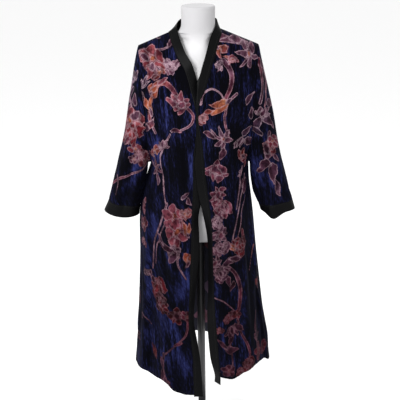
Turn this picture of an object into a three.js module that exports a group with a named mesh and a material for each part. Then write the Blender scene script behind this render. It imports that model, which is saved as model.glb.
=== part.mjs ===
// Long open robe with wide sleeves, worn on a limbless dress form on a pole and a round base.
// Millimetres, +Z up, +X to the right of a viewer in front, -Y towards the viewer.
// The origin is the centre of the base's underside, on the floor.
import * as THREE from 'three';

const velvetWall = 1.6;
const satinWall = 2.0;
const seamGap = 0.4;

const shoulderSlope = 0.42;
const shoulderTopZ = 1526;
const shoulderTopX = 66;
const shoulderTipX = 201.5;
const shoulderY = 5;
const armpitZ = 1062;
const armpitFrontZ = 1030;
const firstBackRowZ = 1500;

// Rows lie closer together near the shoulder: row heights follow a power of the row's number.
const frontRowPower = 1.45;
const backRowPower = 1.1;
const sleeveRowPower = 1.12;
// Over this many rows the curve of a row changes under the shoulder seam and above the armpit.
const shoulderRows = 3;
const armpitRows = 5;

// How far each row's curve runs straight on at its two ends, as parts of the row's width.
const edgeReach = 0.5;
const armholeReach = 0.3;
const frontArmholeDepth = 0.13;
const backArmholeDepth = 0.12;
const middleRise = 0.4;
// The same at the side seam, as part of the panel's depth there.
const sideDepth = 0.56;

// Folds die out within these parts of a panel's width, and grow by foldGrowth down to the hem.
const bandFade = 0.12;
const sideFade = 0.1;
const foldOnset = 1.6;
const foldGrowth = 1.5;
const sleeveFoldOnset = 3;
const sleeveFoldEnd = 1.15;
const sleeveFoldFade = 4;
// The hem line's shape reaches up the skirt by this power, and the neckline's down by its share.
const hemPower = 4;
const neckFollow = 0.55;

const armholeSteps = 14;
const skirtSteps = 12;
const frontColumns = 13;
const shoulderColumns = 7;
const neckColumns = 12;
const sleeveSteps = 12;
const cuffSteps = 2;
const formSides = 36;

const bandWidth = 32;
const bandFoldLength = 6.3;
const bandTuck = 1;
const bandEndForward = 1;
const rightBandDrop = 31;
const leftBandDrop = 3;

const poleRadius = 14;
const poleBottomZ = 12.3;
const baseRadius = 150;
const baseHeight = 12;
const baseFootBevel = 1;
const baseTopBevel = 3;
const poleSides = 32;
const baseSides = 64;
const formBottomZ = 796;

const velvet = { color: 0x14143a, roughness: 0.75, metalness: 0 };
const satin = { color: 0x121214, roughness: 0.45, metalness: 0 };
const formCloth = { color: 0xe9e7e3, roughness: 0.85, metalness: 0 };
const darkMetal = { color: 0x2b2c2e, roughness: 0.4, metalness: 1 };

// Points of two pieces count as one seam point when they agree to this part of a millimetre.
const seamRounding = 20;

// Edge where each front meets its band: place, and how the band leaves it.
// back and rise are degrees, seen is the width before the band turns under by turn degrees.
const rightEdge = [
  { z: 1523.9, x: 71, y: 5, back: 62, rise: 56, seen: 26, turn: 0 },
  { z: 1518, x: 77, y: -12, back: 40, rise: 50, seen: 26, turn: 0 },
  { z: 1507, x: 78, y: -36, back: 8, rise: 34, seen: 26, turn: 0 },
  { z: 1488, x: 67, y: -56, back: 5, rise: 22, seen: 26, turn: 0 },
  { z: 1462, x: 60, y: -74, back: 5, rise: 24, seen: 26, turn: 0 },
  { z: 1404, x: 41, y: -100, back: 0, rise: 30, seen: 26, turn: 0 },
  { z: 1345, x: 22.5, y: -126, back: 4, rise: 28, seen: 25, turn: 30 },
  { z: 1318, x: 7, y: -142, back: 2, rise: 18, seen: 14, turn: 165 },
  { z: 1297, x: -1, y: -149, back: 2, rise: 6, seen: 7, turn: 172 },
  { z: 1255, x: -2.5, y: -152, back: 2, rise: 0, seen: 6, turn: 173 },
  { z: 1208, x: 2.6, y: -154, back: 2, rise: 0, seen: 11, turn: 172 },
  { z: 1168, x: 10, y: -155, back: 2, rise: 0, seen: 18, turn: 168 },
  { z: 1112, x: 15.6, y: -156, back: 2, rise: 0, seen: 26, turn: 40 },
  { z: 1051, x: 19, y: -157, back: 3, rise: 0, seen: 26, turn: 0 },
  { z: 990, x: 28, y: -158, back: 8, rise: 0, seen: 26, turn: 0 },
  { z: 940, x: 32, y: -158, back: 30, rise: 0, seen: 26, turn: 0 },
  { z: 885, x: 40, y: -158, back: 40, rise: 0, seen: 26, turn: 0 },
  { z: 804, x: 41.5, y: -159, back: 62, rise: 0, seen: 26, turn: 0 },
  { z: 602, x: 47, y: -164, back: 45, rise: 0, seen: 26, turn: 0 },
  { z: 490, x: 54, y: -170, back: 8, rise: 0, seen: 26, turn: 0 },
  { z: 369, x: 62, y: -182, back: 25, rise: 0, seen: 26, turn: 0 },
  { z: 314, x: 66, y: -190, back: 52, rise: 0, seen: 26, turn: 0 },
];
const leftEdge = [
  { z: 1511.7, x: 100, y: 5, back: -8, rise: 30, seen: 26, turn: 0 },
  { z: 1477, x: 86.5, y: -48, back: 12, rise: 30, seen: 26, turn: 0 },
  { z: 1433, x: 66, y: -80, back: 0, rise: 32, seen: 26, turn: 0 },
  { z: 1404, x: 47.5, y: -98, back: 5, rise: 34, seen: 26, turn: 0 },
  { z: 1345, x: 28, y: -117, back: 34, rise: 26, seen: 26, turn: 0 },
  { z: 1313, x: 22, y: -130, back: 14, rise: 10, seen: 26, turn: 0 },
  { z: 1285, x: 12, y: -138, back: 8, rise: 0, seen: 26, turn: 0 },
  { z: 1208, x: 10, y: -143, back: 6, rise: 0, seen: 26, turn: 0 },
  { z: 1112, x: 21, y: -146, back: 4, rise: 0, seen: 26, turn: 0 },
  { z: 990, x: 24, y: -148, back: 6, rise: 0, seen: 26, turn: 0 },
  { z: 940, x: 28, y: -149, back: 30, rise: 0, seen: 26, turn: 0 },
  { z: 885, x: 30, y: -151, back: 44, rise: 0, seen: 26, turn: 0 },
  { z: 804, x: 32, y: -154, back: 28, rise: 0, seen: 26, turn: 0 },
  { z: 602, x: 42, y: -162, back: 48, rise: 0, seen: 26, turn: 0 },
  { z: 518, x: 45, y: -167, back: 56, rise: 0, seen: 26, turn: 0 },
  { z: 400, x: 32, y: -178, back: 44, rise: 0, seen: 26, turn: 0 },
  { z: 326, x: 31, y: -187, back: 24, rise: 0, seen: 26, turn: 0 },
  { z: 246, x: 29, y: -196, back: 0, rise: 0, seen: 26, turn: 0 },
];

// Back neckline from the left shoulder to the right: seam, and the band's free edge over it.
const backNeck = [
  { x: -100, y: 5, z: 1511.7, freeX: -72.5, freeY: 1, freeZ: 1527.7 },
  { x: -82, y: 45, z: 1518, freeX: -66, freeY: 39, freeZ: 1545 },
  { x: -46, y: 70, z: 1523, freeX: -41, freeY: 60, freeZ: 1553 },
  { x: 0, y: 77, z: 1525, freeX: 0, freeY: 68, freeZ: 1556 },
  { x: 42, y: 69, z: 1526, freeX: 38, freeY: 60, freeZ: 1555 },
  { x: 71, y: 5, z: 1523.9, freeX: 63, freeY: 21, freeZ: 1549 },
];

// Side seam from the armpit to the hem: half width, and depth.
const rightSide = [
  { z: 1062, x: 169, y: 5 },
  { z: 1000, x: 172, y: 4 },
  { z: 899, x: 184.5, y: 3 },
  { z: 746, x: 198.5, y: 2 },
  { z: 528, x: 223, y: 0 },
  { z: 426, x: 237, y: 0 },
  { z: 303, x: 252, y: 0 },
];
const leftSide = [
  { z: 1062, x: 169, y: 5 },
  { z: 1034, x: 178, y: 5 },
  { z: 1000, x: 189, y: 4 },
  { z: 950, x: 201, y: 4 },
  { z: 899, x: 210.5, y: 3 },
  { z: 800, x: 215, y: 3 },
  { z: 727, x: 217, y: 2 },
  { z: 568, x: 225, y: 0 },
  { z: 405, x: 236, y: 0 },
  { z: 288, x: 247, y: 0 },
];

// Middle of the back from the neck to the hem.
const backMiddle = [
  { z: 1525, y: 77 },
  { z: 1490, y: 92 },
  { z: 1400, y: 112 },
  { z: 1290, y: 112 },
  { z: 1150, y: 104 },
  { z: 1000, y: 116 },
  { z: 860, y: 136 },
  { z: 700, y: 150 },
  { z: 500, y: 162 },
  { z: 318, y: 172 },
];

// Sleeve sections from the armhole to the cuff seam: outer and inner point, and half depth.
const rightSleeveRows = [
  { outX: 201.5, outZ: 1469, inX: 169, inZ: 1062, y: 5, front: 88, rear: 78 },
  { outX: 211, outZ: 1424, inX: 176, inZ: 1058, y: 4, front: 88, rear: 76 },
  { outX: 229, outZ: 1350, inX: 177.5, inZ: 1026, y: 2, front: 84, rear: 72 },
  { outX: 249, outZ: 1262, inX: 180, inZ: 1002, y: -1, front: 78, rear: 66 },
  { outX: 264, outZ: 1170, inX: 184, inZ: 977, y: -5, front: 71, rear: 60 },
  { outX: 282, outZ: 1084, inX: 188, inZ: 956, y: -9, front: 63, rear: 55 },
  { outX: 304, outZ: 996, inX: 197, inZ: 934, y: -13, front: 54, rear: 49 },
  { outX: 325, outZ: 927, inX: 207, inZ: 912, y: -15, front: 46, rear: 43 },
];
const leftSleeveRows = [
  { outX: 201.5, outZ: 1469, inX: 169, inZ: 1062, y: 5, front: 88, rear: 78 },
  { outX: 211, outZ: 1424, inX: 180, inZ: 1060, y: 4, front: 88, rear: 76 },
  { outX: 226, outZ: 1350, inX: 183, inZ: 1034, y: 2, front: 85, rear: 72 },
  { outX: 242, outZ: 1262, inX: 190.5, inZ: 1005, y: -1, front: 80, rear: 66 },
  { outX: 258, outZ: 1170, inX: 197, inZ: 978, y: -5, front: 74, rear: 60 },
  { outX: 280, outZ: 1084, inX: 202.5, inZ: 956, y: -9, front: 66, rear: 56 },
  { outX: 303, outZ: 996, inX: 207.5, inZ: 936, y: -13, front: 58, rear: 52 },
  { outX: 321, outZ: 930, inX: 212, inZ: 914, y: -15, front: 52, rear: 49 },
];
// Cuff ends: the rim hangs lowest by dip at the angle dipAt, within dipWidth degrees of it.
const rightCuffEnd = {
  outX: 335, outZ: 892, inX: 214, inZ: 889, y: -16, front: 45, rear: 43, dip: 25, dipAt: 107, dipWidth: 26,
};
const leftCuffEnd = {
  outX: 338, outZ: 894, inX: 215, inZ: 880, y: -16, front: 52, rear: 50, dip: 7, dipAt: 90, dipWidth: 60,
};

// Largest folds: across is the place from the seam (0) to the side (1), z from top to bottom.
const rightFrontFolds = [
  { across: 0.22, drift: 0.04, top: 1250, bottom: 250, width: 0.08, depth: -9 },
  { across: 0.45, drift: 0.02, top: 980, bottom: 250, width: 0.1, depth: 13 },
  { across: 0.68, drift: 0.02, top: 1100, bottom: 250, width: 0.08, depth: -13 },
  { across: 0.86, drift: 0.0, top: 900, bottom: 250, width: 0.07, depth: 8 },
];
const leftFrontFolds = [
  { across: 0.25, drift: 0.05, top: 1000, bottom: 220, width: 0.1, depth: 12 },
  { across: 0.5, drift: 0.03, top: 1180, bottom: 220, width: 0.08, depth: -11 },
  { across: 0.72, drift: -0.02, top: 950, bottom: 220, width: 0.09, depth: 11 },
  { across: 0.9, drift: 0.0, top: 1000, bottom: 220, width: 0.06, depth: -7 },
];
const backFolds = [
  { across: -0.78, drift: 0.0, top: 1080, bottom: 280, width: 0.09, depth: 10 },
  { across: -0.5, drift: -0.04, top: 1180, bottom: 280, width: 0.1, depth: -13 },
  { across: -0.2, drift: -0.02, top: 1000, bottom: 280, width: 0.1, depth: 12 },
  { across: 0.1, drift: 0.03, top: 1150, bottom: 280, width: 0.1, depth: -12 },
  { across: 0.4, drift: 0.02, top: 980, bottom: 280, width: 0.1, depth: 12 },
  { across: 0.7, drift: 0.02, top: 1120, bottom: 280, width: 0.09, depth: -12 },
];
// Sleeve folds: around is the angle from the outer line towards the front, in degrees.
const rightSleeveFolds = [
  { around: 60, drift: 10, top: 0.15, bottom: 1, width: 16, depth: -7 },
  { around: 100, drift: 14, top: 0.3, bottom: 1.1, width: 16, depth: 7 },
  { around: 138, drift: -6, top: 0.2, bottom: 0.95, width: 13, depth: -7 },
  { around: 235, drift: 8, top: 0.25, bottom: 1, width: 18, depth: -7 },
  { around: 290, drift: -8, top: 0.3, bottom: 1, width: 16, depth: 6 },
];
const leftSleeveFolds = [
  { around: 48, drift: 12, top: 0.2, bottom: 1, width: 15, depth: 6 },
  { around: 84, drift: 8, top: 0.25, bottom: 1.05, width: 14, depth: -8 },
  { around: 125, drift: -4, top: 0.15, bottom: 0.9, width: 14, depth: 7 },
  { around: 228, drift: 6, top: 0.2, bottom: 1, width: 17, depth: 6 },
  { around: 285, drift: -6, top: 0.25, bottom: 1, width: 16, depth: -7 },
];
// Hem line of each front: how far it hangs below the straight line from seam to side.
const rightHem = [
  { across: 0, drop: 0 },
  { across: 0.2, drop: 12 },
  { across: 0.3, drop: -2 },
  { across: 0.4, drop: -18 },
  { across: 0.5, drop: -36 },
  { across: 0.58, drop: -31 },
  { across: 0.75, drop: -14 },
  { across: 1, drop: 0 },
];
const leftHem = [
  { across: 0, drop: 0 },
  { across: 0.115, drop: 2 },
  { across: 0.23, drop: -9 },
  { across: 0.33, drop: -37 },
  { across: 0.43, drop: -30 },
  { across: 0.53, drop: -25 },
  { across: 0.66, drop: -34 },
  { across: 0.77, drop: -25 },
  { across: 1, drop: 0 },
];

// Dress form from its flat underside to its flat neck top: half width, depths and squareness.
// neckFront and neckRear deepen the middle, so that the chest and the back run up into the neck.
const formRows = [
  { z: formBottomZ, half: 148, front: 106, rear: 96, power: 2.2 },
  { z: 812, half: 156, front: 114, rear: 104, power: 2.2 },
  { z: 900, half: 160, front: 116, rear: 104, power: 2.2 },
  { z: 1000, half: 146, front: 108, rear: 106, power: 2.2 },
  { z: 1110, half: 121, front: 94, rear: 82, power: 2.2 },
  { z: 1200, half: 134, front: 104, rear: 86, power: 2.2 },
  { z: 1290, half: 148, front: 114, rear: 94, power: 2.2 },
  { z: 1370, half: 156, front: 100, rear: 96, power: 2.1 },
  { z: 1425, half: 166, front: 78, rear: 86, power: 2.0 },
  { z: 1458, half: 175, front: 54, rear: 62, power: 1.9, neckFront: 15, neckRear: 14 },
  { z: 1474, half: 170, front: 40, rear: 46, power: 1.8, neckFront: 25, neckRear: 24 },
];
const formTopRows = [
  { half: 150, sink: 0, front: 20, rear: 27, power: 1.6, neckFront: 42, neckRear: 39 },
  { half: 122, sink: 0, front: 16, rear: 29, power: 1.6, neckFront: 44, neckRear: 34 },
  { half: 100, sink: 1.2, front: 17, rear: 33, power: 1.6, neckFront: 42, neckRear: 28 },
  { half: 82, sink: 6, front: 30, rear: 44, power: 1.8, neckFront: 28, neckRear: 15.5 },
  { half: 68, sink: 8, front: 48, rear: 53, power: 2, neckFront: 9.5, neckRear: 5 },
];
const neckRows = [
  { z: 1528, half: 59, front: 56, rear: 57, power: 2 },
  { z: 1546, half: 56.6, front: 56.6, rear: 56.6, power: 2 },
  { z: 1594, half: 57, front: 57, rear: 57, power: 2 },
  { z: 1600, half: 54, front: 54, rear: 54, power: 2 },
];
const formClearance = 1.6;
const neckSpread = 52;

function point(x, y, z) {
  return new THREE.Vector3(x, y, z);
}

function radians(degrees) {
  return degrees * Math.PI / 180;
}

function smooth(value) {
  const t = Math.min(1, Math.max(0, value));
  return t * t * (3 - 2 * t);
}

function lerp(a, b, t) {
  return a + (b - a) * t;
}

// Smooth value of one column of a table, read along its key column.
function readTable(rows, key, column, value) {
  const rising = rows[rows.length - 1][key] > rows[0][key];
  let i = 0;
  while (i < rows.length - 2 && (rising ? value > rows[i + 1][key] : value < rows[i + 1][key])) {
    i += 1;
  }
  const a = rows[i];
  const b = rows[i + 1];
  const before = rows[Math.max(0, i - 1)];
  const after = rows[Math.min(rows.length - 1, i + 2)];
  const span = b[key] - a[key];
  const t = Math.min(1, Math.max(0, (value - a[key]) / span));
  const slopeA = (b[column] - before[column]) / (b[key] - before[key]) * span;
  const slopeB = (after[column] - a[column]) / (after[key] - a[key]) * span;
  const t2 = t * t;
  const t3 = t2 * t;
  return (2 * t3 - 3 * t2 + 1) * a[column] + (t3 - 2 * t2 + t) * slopeA
    + (3 * t2 - 2 * t3) * b[column] + (t3 - t2) * slopeB;
}

function bezier(a, b, c, d, t) {
  const s = 1 - t;
  return a.clone().multiplyScalar(s * s * s)
    .addScaledVector(b, 3 * s * s * t)
    .addScaledVector(c, 3 * s * t * t)
    .addScaledVector(d, t * t * t);
}

// Normals of a grid of points, from the directions to the neighbours.
function gridNormals(grid, wraps) {
  const rows = grid.length;
  const columns = grid[0].length;
  return grid.map((row, i) => row.map((p, j) => {
    const upper = grid[Math.max(0, i - 1)][j];
    const lower = grid[Math.min(rows - 1, i + 1)][j];
    const left = row[wraps ? (j + columns - 1) % columns : Math.max(0, j - 1)];
    const right = row[wraps ? (j + 1) % columns : Math.min(columns - 1, j + 1)];
    const across = right.clone().sub(left);
    const down = lower.clone().sub(upper);
    return across.cross(down).normalize().negate();
  }));
}

// Place of an edge point moved square to the seam, along the wall, to leave the seam's gap.
function pullBack(p, next, seamWay, normal) {
  const inward = seamWay.clone().cross(normal).normalize();
  const side = Math.sign(inward.dot(next.clone().sub(p)));
  return p.clone().addScaledVector(inward, side * seamGap / 2);
}

// Closed wall on a grid: outer and inner faces, and rims at every open edge.
function wallGeometry(grid, normals, thickness, wraps) {
  const rows = grid.length;
  const columns = grid[0].length;
  const positions = [];
  for (const side of [0.5, -0.5]) {
    for (let i = 0; i < rows; i += 1) {
      for (let j = 0; j < columns; j += 1) {
        const p = grid[i][j].clone().addScaledVector(normals[i][j], side * thickness);
        positions.push(p.x, p.y, p.z);
      }
    }
  }
  const inner = rows * columns;
  const at = (i, j) => i * columns + (wraps ? j % columns : j);
  const faces = [];
  const quad = (a, b, c, d) => faces.push(a, b, c, a, c, d);
  const lastColumn = wraps ? columns : columns - 1;
  for (let i = 0; i < rows - 1; i += 1) {
    for (let j = 0; j < lastColumn; j += 1) {
      quad(at(i, j), at(i + 1, j), at(i + 1, j + 1), at(i, j + 1));
      quad(inner + at(i, j), inner + at(i, j + 1), inner + at(i + 1, j + 1), inner + at(i + 1, j));
    }
  }
  for (let j = 0; j < lastColumn; j += 1) {
    quad(at(0, j), at(0, j + 1), inner + at(0, j + 1), inner + at(0, j));
    quad(at(rows - 1, j), inner + at(rows - 1, j), inner + at(rows - 1, j + 1), at(rows - 1, j + 1));
  }
  if (!wraps) {
    for (let i = 0; i < rows - 1; i += 1) {
      quad(at(i, 0), inner + at(i, 0), inner + at(i + 1, 0), at(i + 1, 0));
      quad(at(i, columns - 1), at(i + 1, columns - 1), inner + at(i + 1, columns - 1),
        inner + at(i, columns - 1));
    }
  }
  const geometry = new THREE.BufferGeometry();
  geometry.setAttribute('position', new THREE.Float32BufferAttribute(positions, 3));
  geometry.setIndex(faces);
  return geometry;
}

function flipped(geometry) {
  const index = geometry.index.array;
  for (let k = 0; k < index.length; k += 3) {
    const kept = index[k];
    index[k] = index[k + 1];
    index[k + 1] = kept;
  }
  return geometry;
}

// Signed volume, to turn a wall's faces outwards whichever way its grid runs.
function signedVolume(geometry) {
  const p = geometry.attributes.position;
  const index = geometry.index.array;
  const a = new THREE.Vector3();
  const b = new THREE.Vector3();
  const c = new THREE.Vector3();
  let sum = 0;
  for (let k = 0; k < index.length; k += 3) {
    a.fromBufferAttribute(p, index[k]);
    b.fromBufferAttribute(p, index[k + 1]);
    c.fromBufferAttribute(p, index[k + 2]);
    sum += a.dot(b.cross(c));
  }
  return sum;
}

function solid(name, geometry, finish) {
  const turned = signedVolume(geometry) < 0 ? flipped(geometry) : geometry;
  turned.computeVertexNormals();
  const mesh = new THREE.Mesh(turned, new THREE.MeshStandardMaterial(finish));
  mesh.name = name;
  return mesh;
}

// Section ring of a sleeve: angle 0 is the outer line, 90 the front, 180 the inner line.
function sleevePoint(row, side, angle) {
  const half = 0.5 * Math.cos(angle);
  const depth = Math.sin(angle) > 0 ? -row.front : -row.rear;
  const middleX = (row.outX + row.inX) / 2;
  const middleZ = (row.outZ + row.inZ) / 2;
  const fromDip = (angle * 180 / Math.PI - (row.dipAt || 0)) / (row.dipWidth || 1);
  const dip = (row.dip || 0) * Math.exp(-fromDip * fromDip);
  return point(
    side * (middleX + half * (row.outX - row.inX)),
    row.y + depth * Math.sin(angle),
    middleZ + half * (row.outZ - row.inZ) - dip,
  );
}

function sleeveRowAt(rows, step) {
  const keyed = rows.map((row, i) => ({ ...row, step: i }));
  const mixed = {};
  for (const column of ['outX', 'outZ', 'inX', 'inZ', 'y', 'front', 'rear']) {
    mixed[column] = readTable(keyed, 'step', column, step);
  }
  return mixed;
}

function armholePoint(rows, side, i, toFront) {
  const angle = Math.PI * i / armholeSteps * (toFront ? 1 : -1);
  return sleevePoint(rows[0], side, angle);
}

function edgeRow(table, side, i, hemZ) {
  const topZ = table[0].z;
  const t = Math.min(1, i / armholeSteps);
  const low = Math.max(0, (i - armholeSteps) / skirtSteps);
  const upper = lerp(topZ, armpitFrontZ, Math.pow(t, frontRowPower));
  const z = i <= armholeSteps ? upper : lerp(armpitFrontZ, hemZ, low);
  const row = { z };
  for (const column of ['x', 'y', 'back', 'rise', 'seen', 'turn']) {
    row[column] = readTable(table, 'z', column, Math.max(z, table[table.length - 1].z));
  }
  row.point = point(side * row.x, row.y, z);
  return row;
}

function sidePoint(table, side, i) {
  const hemZ = table[table.length - 1].z;
  const z = lerp(armpitZ, hemZ, (i - armholeSteps) / skirtSteps);
  return point(side * readTable(table, 'z', 'x', z), readTable(table, 'z', 'y', z), z);
}

function foldOffset(folds, across, z) {
  let offset = 0;
  for (const fold of folds) {
    const t = (fold.top - z) / (fold.top - fold.bottom);
    const centre = fold.across + fold.drift * t;
    const gap = (across - centre) / fold.width;
    offset += fold.depth * Math.exp(-gap * gap) * smooth(t * foldOnset) * lerp(1, foldGrowth, Math.max(0, t));
  }
  return offset;
}

// Front panel: each row runs from the band seam round to the armhole or the side seam.
function frontGrid(edgeTable, sideTable, sleeveRows, folds, hem, side) {
  const edgeHem = edgeTable[edgeTable.length - 1].z;
  const grid = [];
  for (let i = 0; i <= armholeSteps + skirtSteps; i += 1) {
    const inArmhole = i <= armholeSteps;
    const outer = inArmhole ? armholePoint(sleeveRows, side, i, true) : sidePoint(sideTable, side, i);
    const inner = edgeRow(edgeTable, side, i, edgeHem).point;
    const reach = Math.abs(outer.x - inner.x);
    const turn = smooth((i - armholeSteps + armpitRows) / armpitRows);
    const shoulder = smooth(1 - i / shoulderRows);
    const flat = outer.clone().sub(inner).multiplyScalar(1 / 3);
    const innerHandle = point(side * reach * edgeReach, 0, flat.z).lerp(flat, shoulder);
    const sleeveWay = point(-side * reach * armholeReach, -reach * frontArmholeDepth, -flat.z);
    const sideWay = point(0, (inner.y - outer.y) * sideDepth, -flat.z);
    const outerHandle = sleeveWay.lerp(sideWay, turn).lerp(flat.clone().negate(), shoulder);
    const low = Math.max(0, (i - armholeSteps) / skirtSteps);
    const row = [];
    for (let j = 0; j <= frontColumns; j += 1) {
      const u = j / frontColumns;
      const p = bezier(inner, inner.clone().add(innerHandle), outer.clone().add(outerHandle), outer, u);
      const edgeFade = smooth(u / bandFade) * smooth((1 - u) / sideFade);
      p.y -= foldOffset(folds, u, p.z) * edgeFade;
      p.z -= readTable(hem, 'across', 'drop', u) * Math.pow(low, hemPower);
      row.push(p);
    }
    grid.push(row);
  }
  return grid;
}

// Columns of the back: left shoulder, neckline, right shoulder.
function backTopRow() {
  const left = point(-shoulderTipX, shoulderY, shoulderTopZ - shoulderSlope * (shoulderTipX - shoulderTopX));
  const right = left.clone().setX(shoulderTipX);
  const row = [];
  const first = backNeck[0];
  const last = backNeck[backNeck.length - 1];
  for (let j = 0; j < shoulderColumns; j += 1) {
    row.push(left.clone().lerp(point(first.x, first.y, first.z), j / shoulderColumns));
  }
  for (let j = 0; j <= neckColumns; j += 1) {
    row.push(neckRow(j).seam);
  }
  for (let j = shoulderColumns - 1; j >= 0; j -= 1) {
    row.push(right.clone().lerp(point(last.x, last.y, last.z), j / shoulderColumns));
  }
  return row;
}

// Seam and free edge of the band round the back of the neck.
function neckRow(j) {
  const keyed = backNeck.map((row, i) => ({ ...row, step: i }));
  const step = j / neckColumns * (backNeck.length - 1);
  const value = (column) => readTable(keyed, 'step', column, step);
  return {
    seam: point(value('x'), value('y'), value('z')),
    free: point(value('freeX'), value('freeY'), value('freeZ')),
  };
}

function backGrid() {
  const top = backTopRow();
  const columns = top.length - 1;
  const hemZ = backMiddle[backMiddle.length - 1].z;
  const grid = [top];
  for (let i = 1; i <= armholeSteps + skirtSteps; i += 1) {
    const inArmhole = i <= armholeSteps;
    const right = inArmhole ? armholePoint(rightSleeveRows, 1, i, false) : sidePoint(rightSide, 1, i);
    const left = inArmhole ? armholePoint(leftSleeveRows, -1, i, false) : sidePoint(leftSide, -1, i);
    const fromTop = Math.min(1, i / armholeSteps);
    const low = (i - armholeSteps) / skirtSteps;
    const upper = Math.pow((i - 1) / (armholeSteps - 1), backRowPower);
    const middleZ = inArmhole ? lerp(firstBackRowZ, armpitFrontZ, upper) : lerp(armpitFrontZ, hemZ, low);
    const middle = point(0, readTable(backMiddle, 'z', 'y', middleZ), middleZ);
    const turn = smooth((i - armholeSteps + armpitRows) / armpitRows);
    const row = [];
    for (let j = 0; j <= columns; j += 1) {
      const half = columns / 2;
      const outer = j < half ? left : right;
      const side = j < half ? -1 : 1;
      const u = Math.abs(j - half) / half;
      const reach = Math.abs(outer.x);
      const rise = (outer.z - middle.z) / 3;
      const middleHandle = middle.clone().add(point(side * reach * edgeReach, 0, rise * middleRise));
      const sleeveWay = point(-side * reach * armholeReach, reach * backArmholeDepth, -rise);
      const sideWay = point(0, (middle.y - outer.y) * sideDepth, -rise);
      const outerHandle = outer.clone().add(sleeveWay.lerp(sideWay, turn));
      const p = bezier(middle, middleHandle, outerHandle, outer, u);
      const followTop = (1 - fromTop) * (1 - fromTop) * neckFollow;
      p.z += (top[j].z - lerp(top[Math.round(half)].z, outer.z, u)) * followTop * (1 - u);
      p.y += foldOffset(backFolds, side * u, p.z) * smooth((1 - u) / sideFade);
      row.push(p);
    }
    grid.push(row);
  }
  return grid;
}

function sleeveFoldOffset(folds, degrees, t) {
  let offset = 0;
  for (const fold of folds) {
    const along = (t - fold.top) / (fold.bottom - fold.top);
    const gap = (degrees - fold.around - fold.drift * along) / fold.width;
    const fade = smooth(along * sleeveFoldOnset) * smooth((sleeveFoldEnd - along) * sleeveFoldFade);
    offset += fold.depth * Math.exp(-gap * gap) * fade;
  }
  return offset;
}

function sleeveGrid(rows, folds, side) {
  const around = armholeSteps * 2;
  const grid = [];
  for (let i = 0; i <= sleeveSteps; i += 1) {
    const t = i / sleeveSteps;
    const row = sleeveRowAt(rows, Math.pow(t, sleeveRowPower) * (rows.length - 1));
    const ring = [];
    for (let j = 0; j < around; j += 1) {
      const angle = Math.PI * j / armholeSteps;
      const p = sleevePoint(row, side, angle);
      const push = sleeveFoldOffset(folds, angle * 180 / Math.PI, t) * Math.abs(Math.sin(angle));
      p.y += Math.sin(angle) > 0 ? -push : push;
      ring.push(p);
    }
    grid.push(ring);
  }
  return grid;
}

function cuffGrid(rows, folds, end, side) {
  const around = armholeSteps * 2;
  const first = sleeveGrid(rows, folds, side)[sleeveSteps];
  const grid = [];
  for (let i = 0; i <= cuffSteps; i += 1) {
    const ring = [];
    for (let j = 0; j < around; j += 1) {
      const last = sleevePoint(end, side, Math.PI * j / armholeSteps);
      ring.push(first[j].clone().lerp(last, i / cuffSteps));
    }
    grid.push(ring);
  }
  return grid;
}

// Section of the band: flat for the seen width, then an arc, then flat again, all in one plane.
function bandSection(start, way, behind, seen, turn) {
  const places = [0, seen / 2, seen, seen + bandFoldLength / 2, seen + bandFoldLength,
    (seen + bandFoldLength + bandWidth) / 2, bandWidth];
  return places.map((s) => {
    const angle = radians(turn);
    const arcLength = Math.min(bandFoldLength, Math.max(0, s - seen));
    const rest = Math.max(0, s - seen - bandFoldLength);
    let along = Math.min(s, seen);
    let back = 0;
    if (angle < 0.01) {
      along += arcLength + rest;
    } else {
      const radius = bandFoldLength / angle;
      const swept = arcLength / radius;
      along += radius * Math.sin(swept) + rest * Math.cos(angle);
      back += radius * (1 - Math.cos(swept)) + rest * Math.sin(angle);
    }
    return start.clone().addScaledVector(way, along).addScaledVector(behind, back);
  });
}

// Band down one front, from the middle of the back neck to its end below the hem.
function bandGrid(edgeTable, side) {
  const edgeHem = edgeTable[edgeTable.length - 1].z;
  const grid = [];
  const neckHalf = neckColumns / 2;
  for (let k = 0; k < neckHalf; k += 1) {
    const row = neckRow(side > 0 ? neckHalf + k : neckHalf - k);
    const way = row.free.clone().sub(row.seam).normalize();
    const behind = point(0, 1, 0);
    grid.push(bandSection(row.seam, way, behind, bandWidth - bandFoldLength - bandTuck, 0));
  }
  for (let i = 0; i <= armholeSteps + skirtSteps; i += 1) {
    const row = edgeRow(edgeTable, side, i, edgeHem);
    grid.push(bandRow(row, row.point, side));
  }
  const last = edgeRow(edgeTable, side, armholeSteps + skirtSteps, edgeHem);
  const drop = side > 0 ? rightBandDrop : leftBandDrop;
  grid.push(bandRow(last, last.point.clone().add(point(0, -bandEndForward, -drop)), side));
  return grid;
}

function bandRow(row, start, side) {
  const back = radians(row.back);
  const rise = radians(row.rise);
  const way = point(-side * Math.cos(back) * Math.cos(rise), Math.sin(back) * Math.cos(rise), Math.sin(rise));
  const behind = point(side * Math.sin(back), Math.cos(back), 0);
  return bandSection(start, way, behind, row.seen - bandTuck, row.turn);
}

// Points out of the garment whatever way the grid runs.
function outwardNormals(grid, wraps, centreOf) {
  const normals = gridNormals(grid, wraps);
  const i = Math.floor(grid.length / 2);
  const j = Math.floor(grid[0].length / 3);
  const away = grid[i][j].clone().sub(centreOf(i));
  return away.dot(normals[i][j]) > 0 ? normals : normals.map((row) => row.map((n) => n.negate()));
}

function bodyCentre() {
  return point(0, 0, 900);
}

function ringCentre(grid) {
  return (i) => grid[i].reduce((sum, p) => sum.add(p), point(0, 0, 0)).multiplyScalar(1 / grid[i].length);
}

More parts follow.
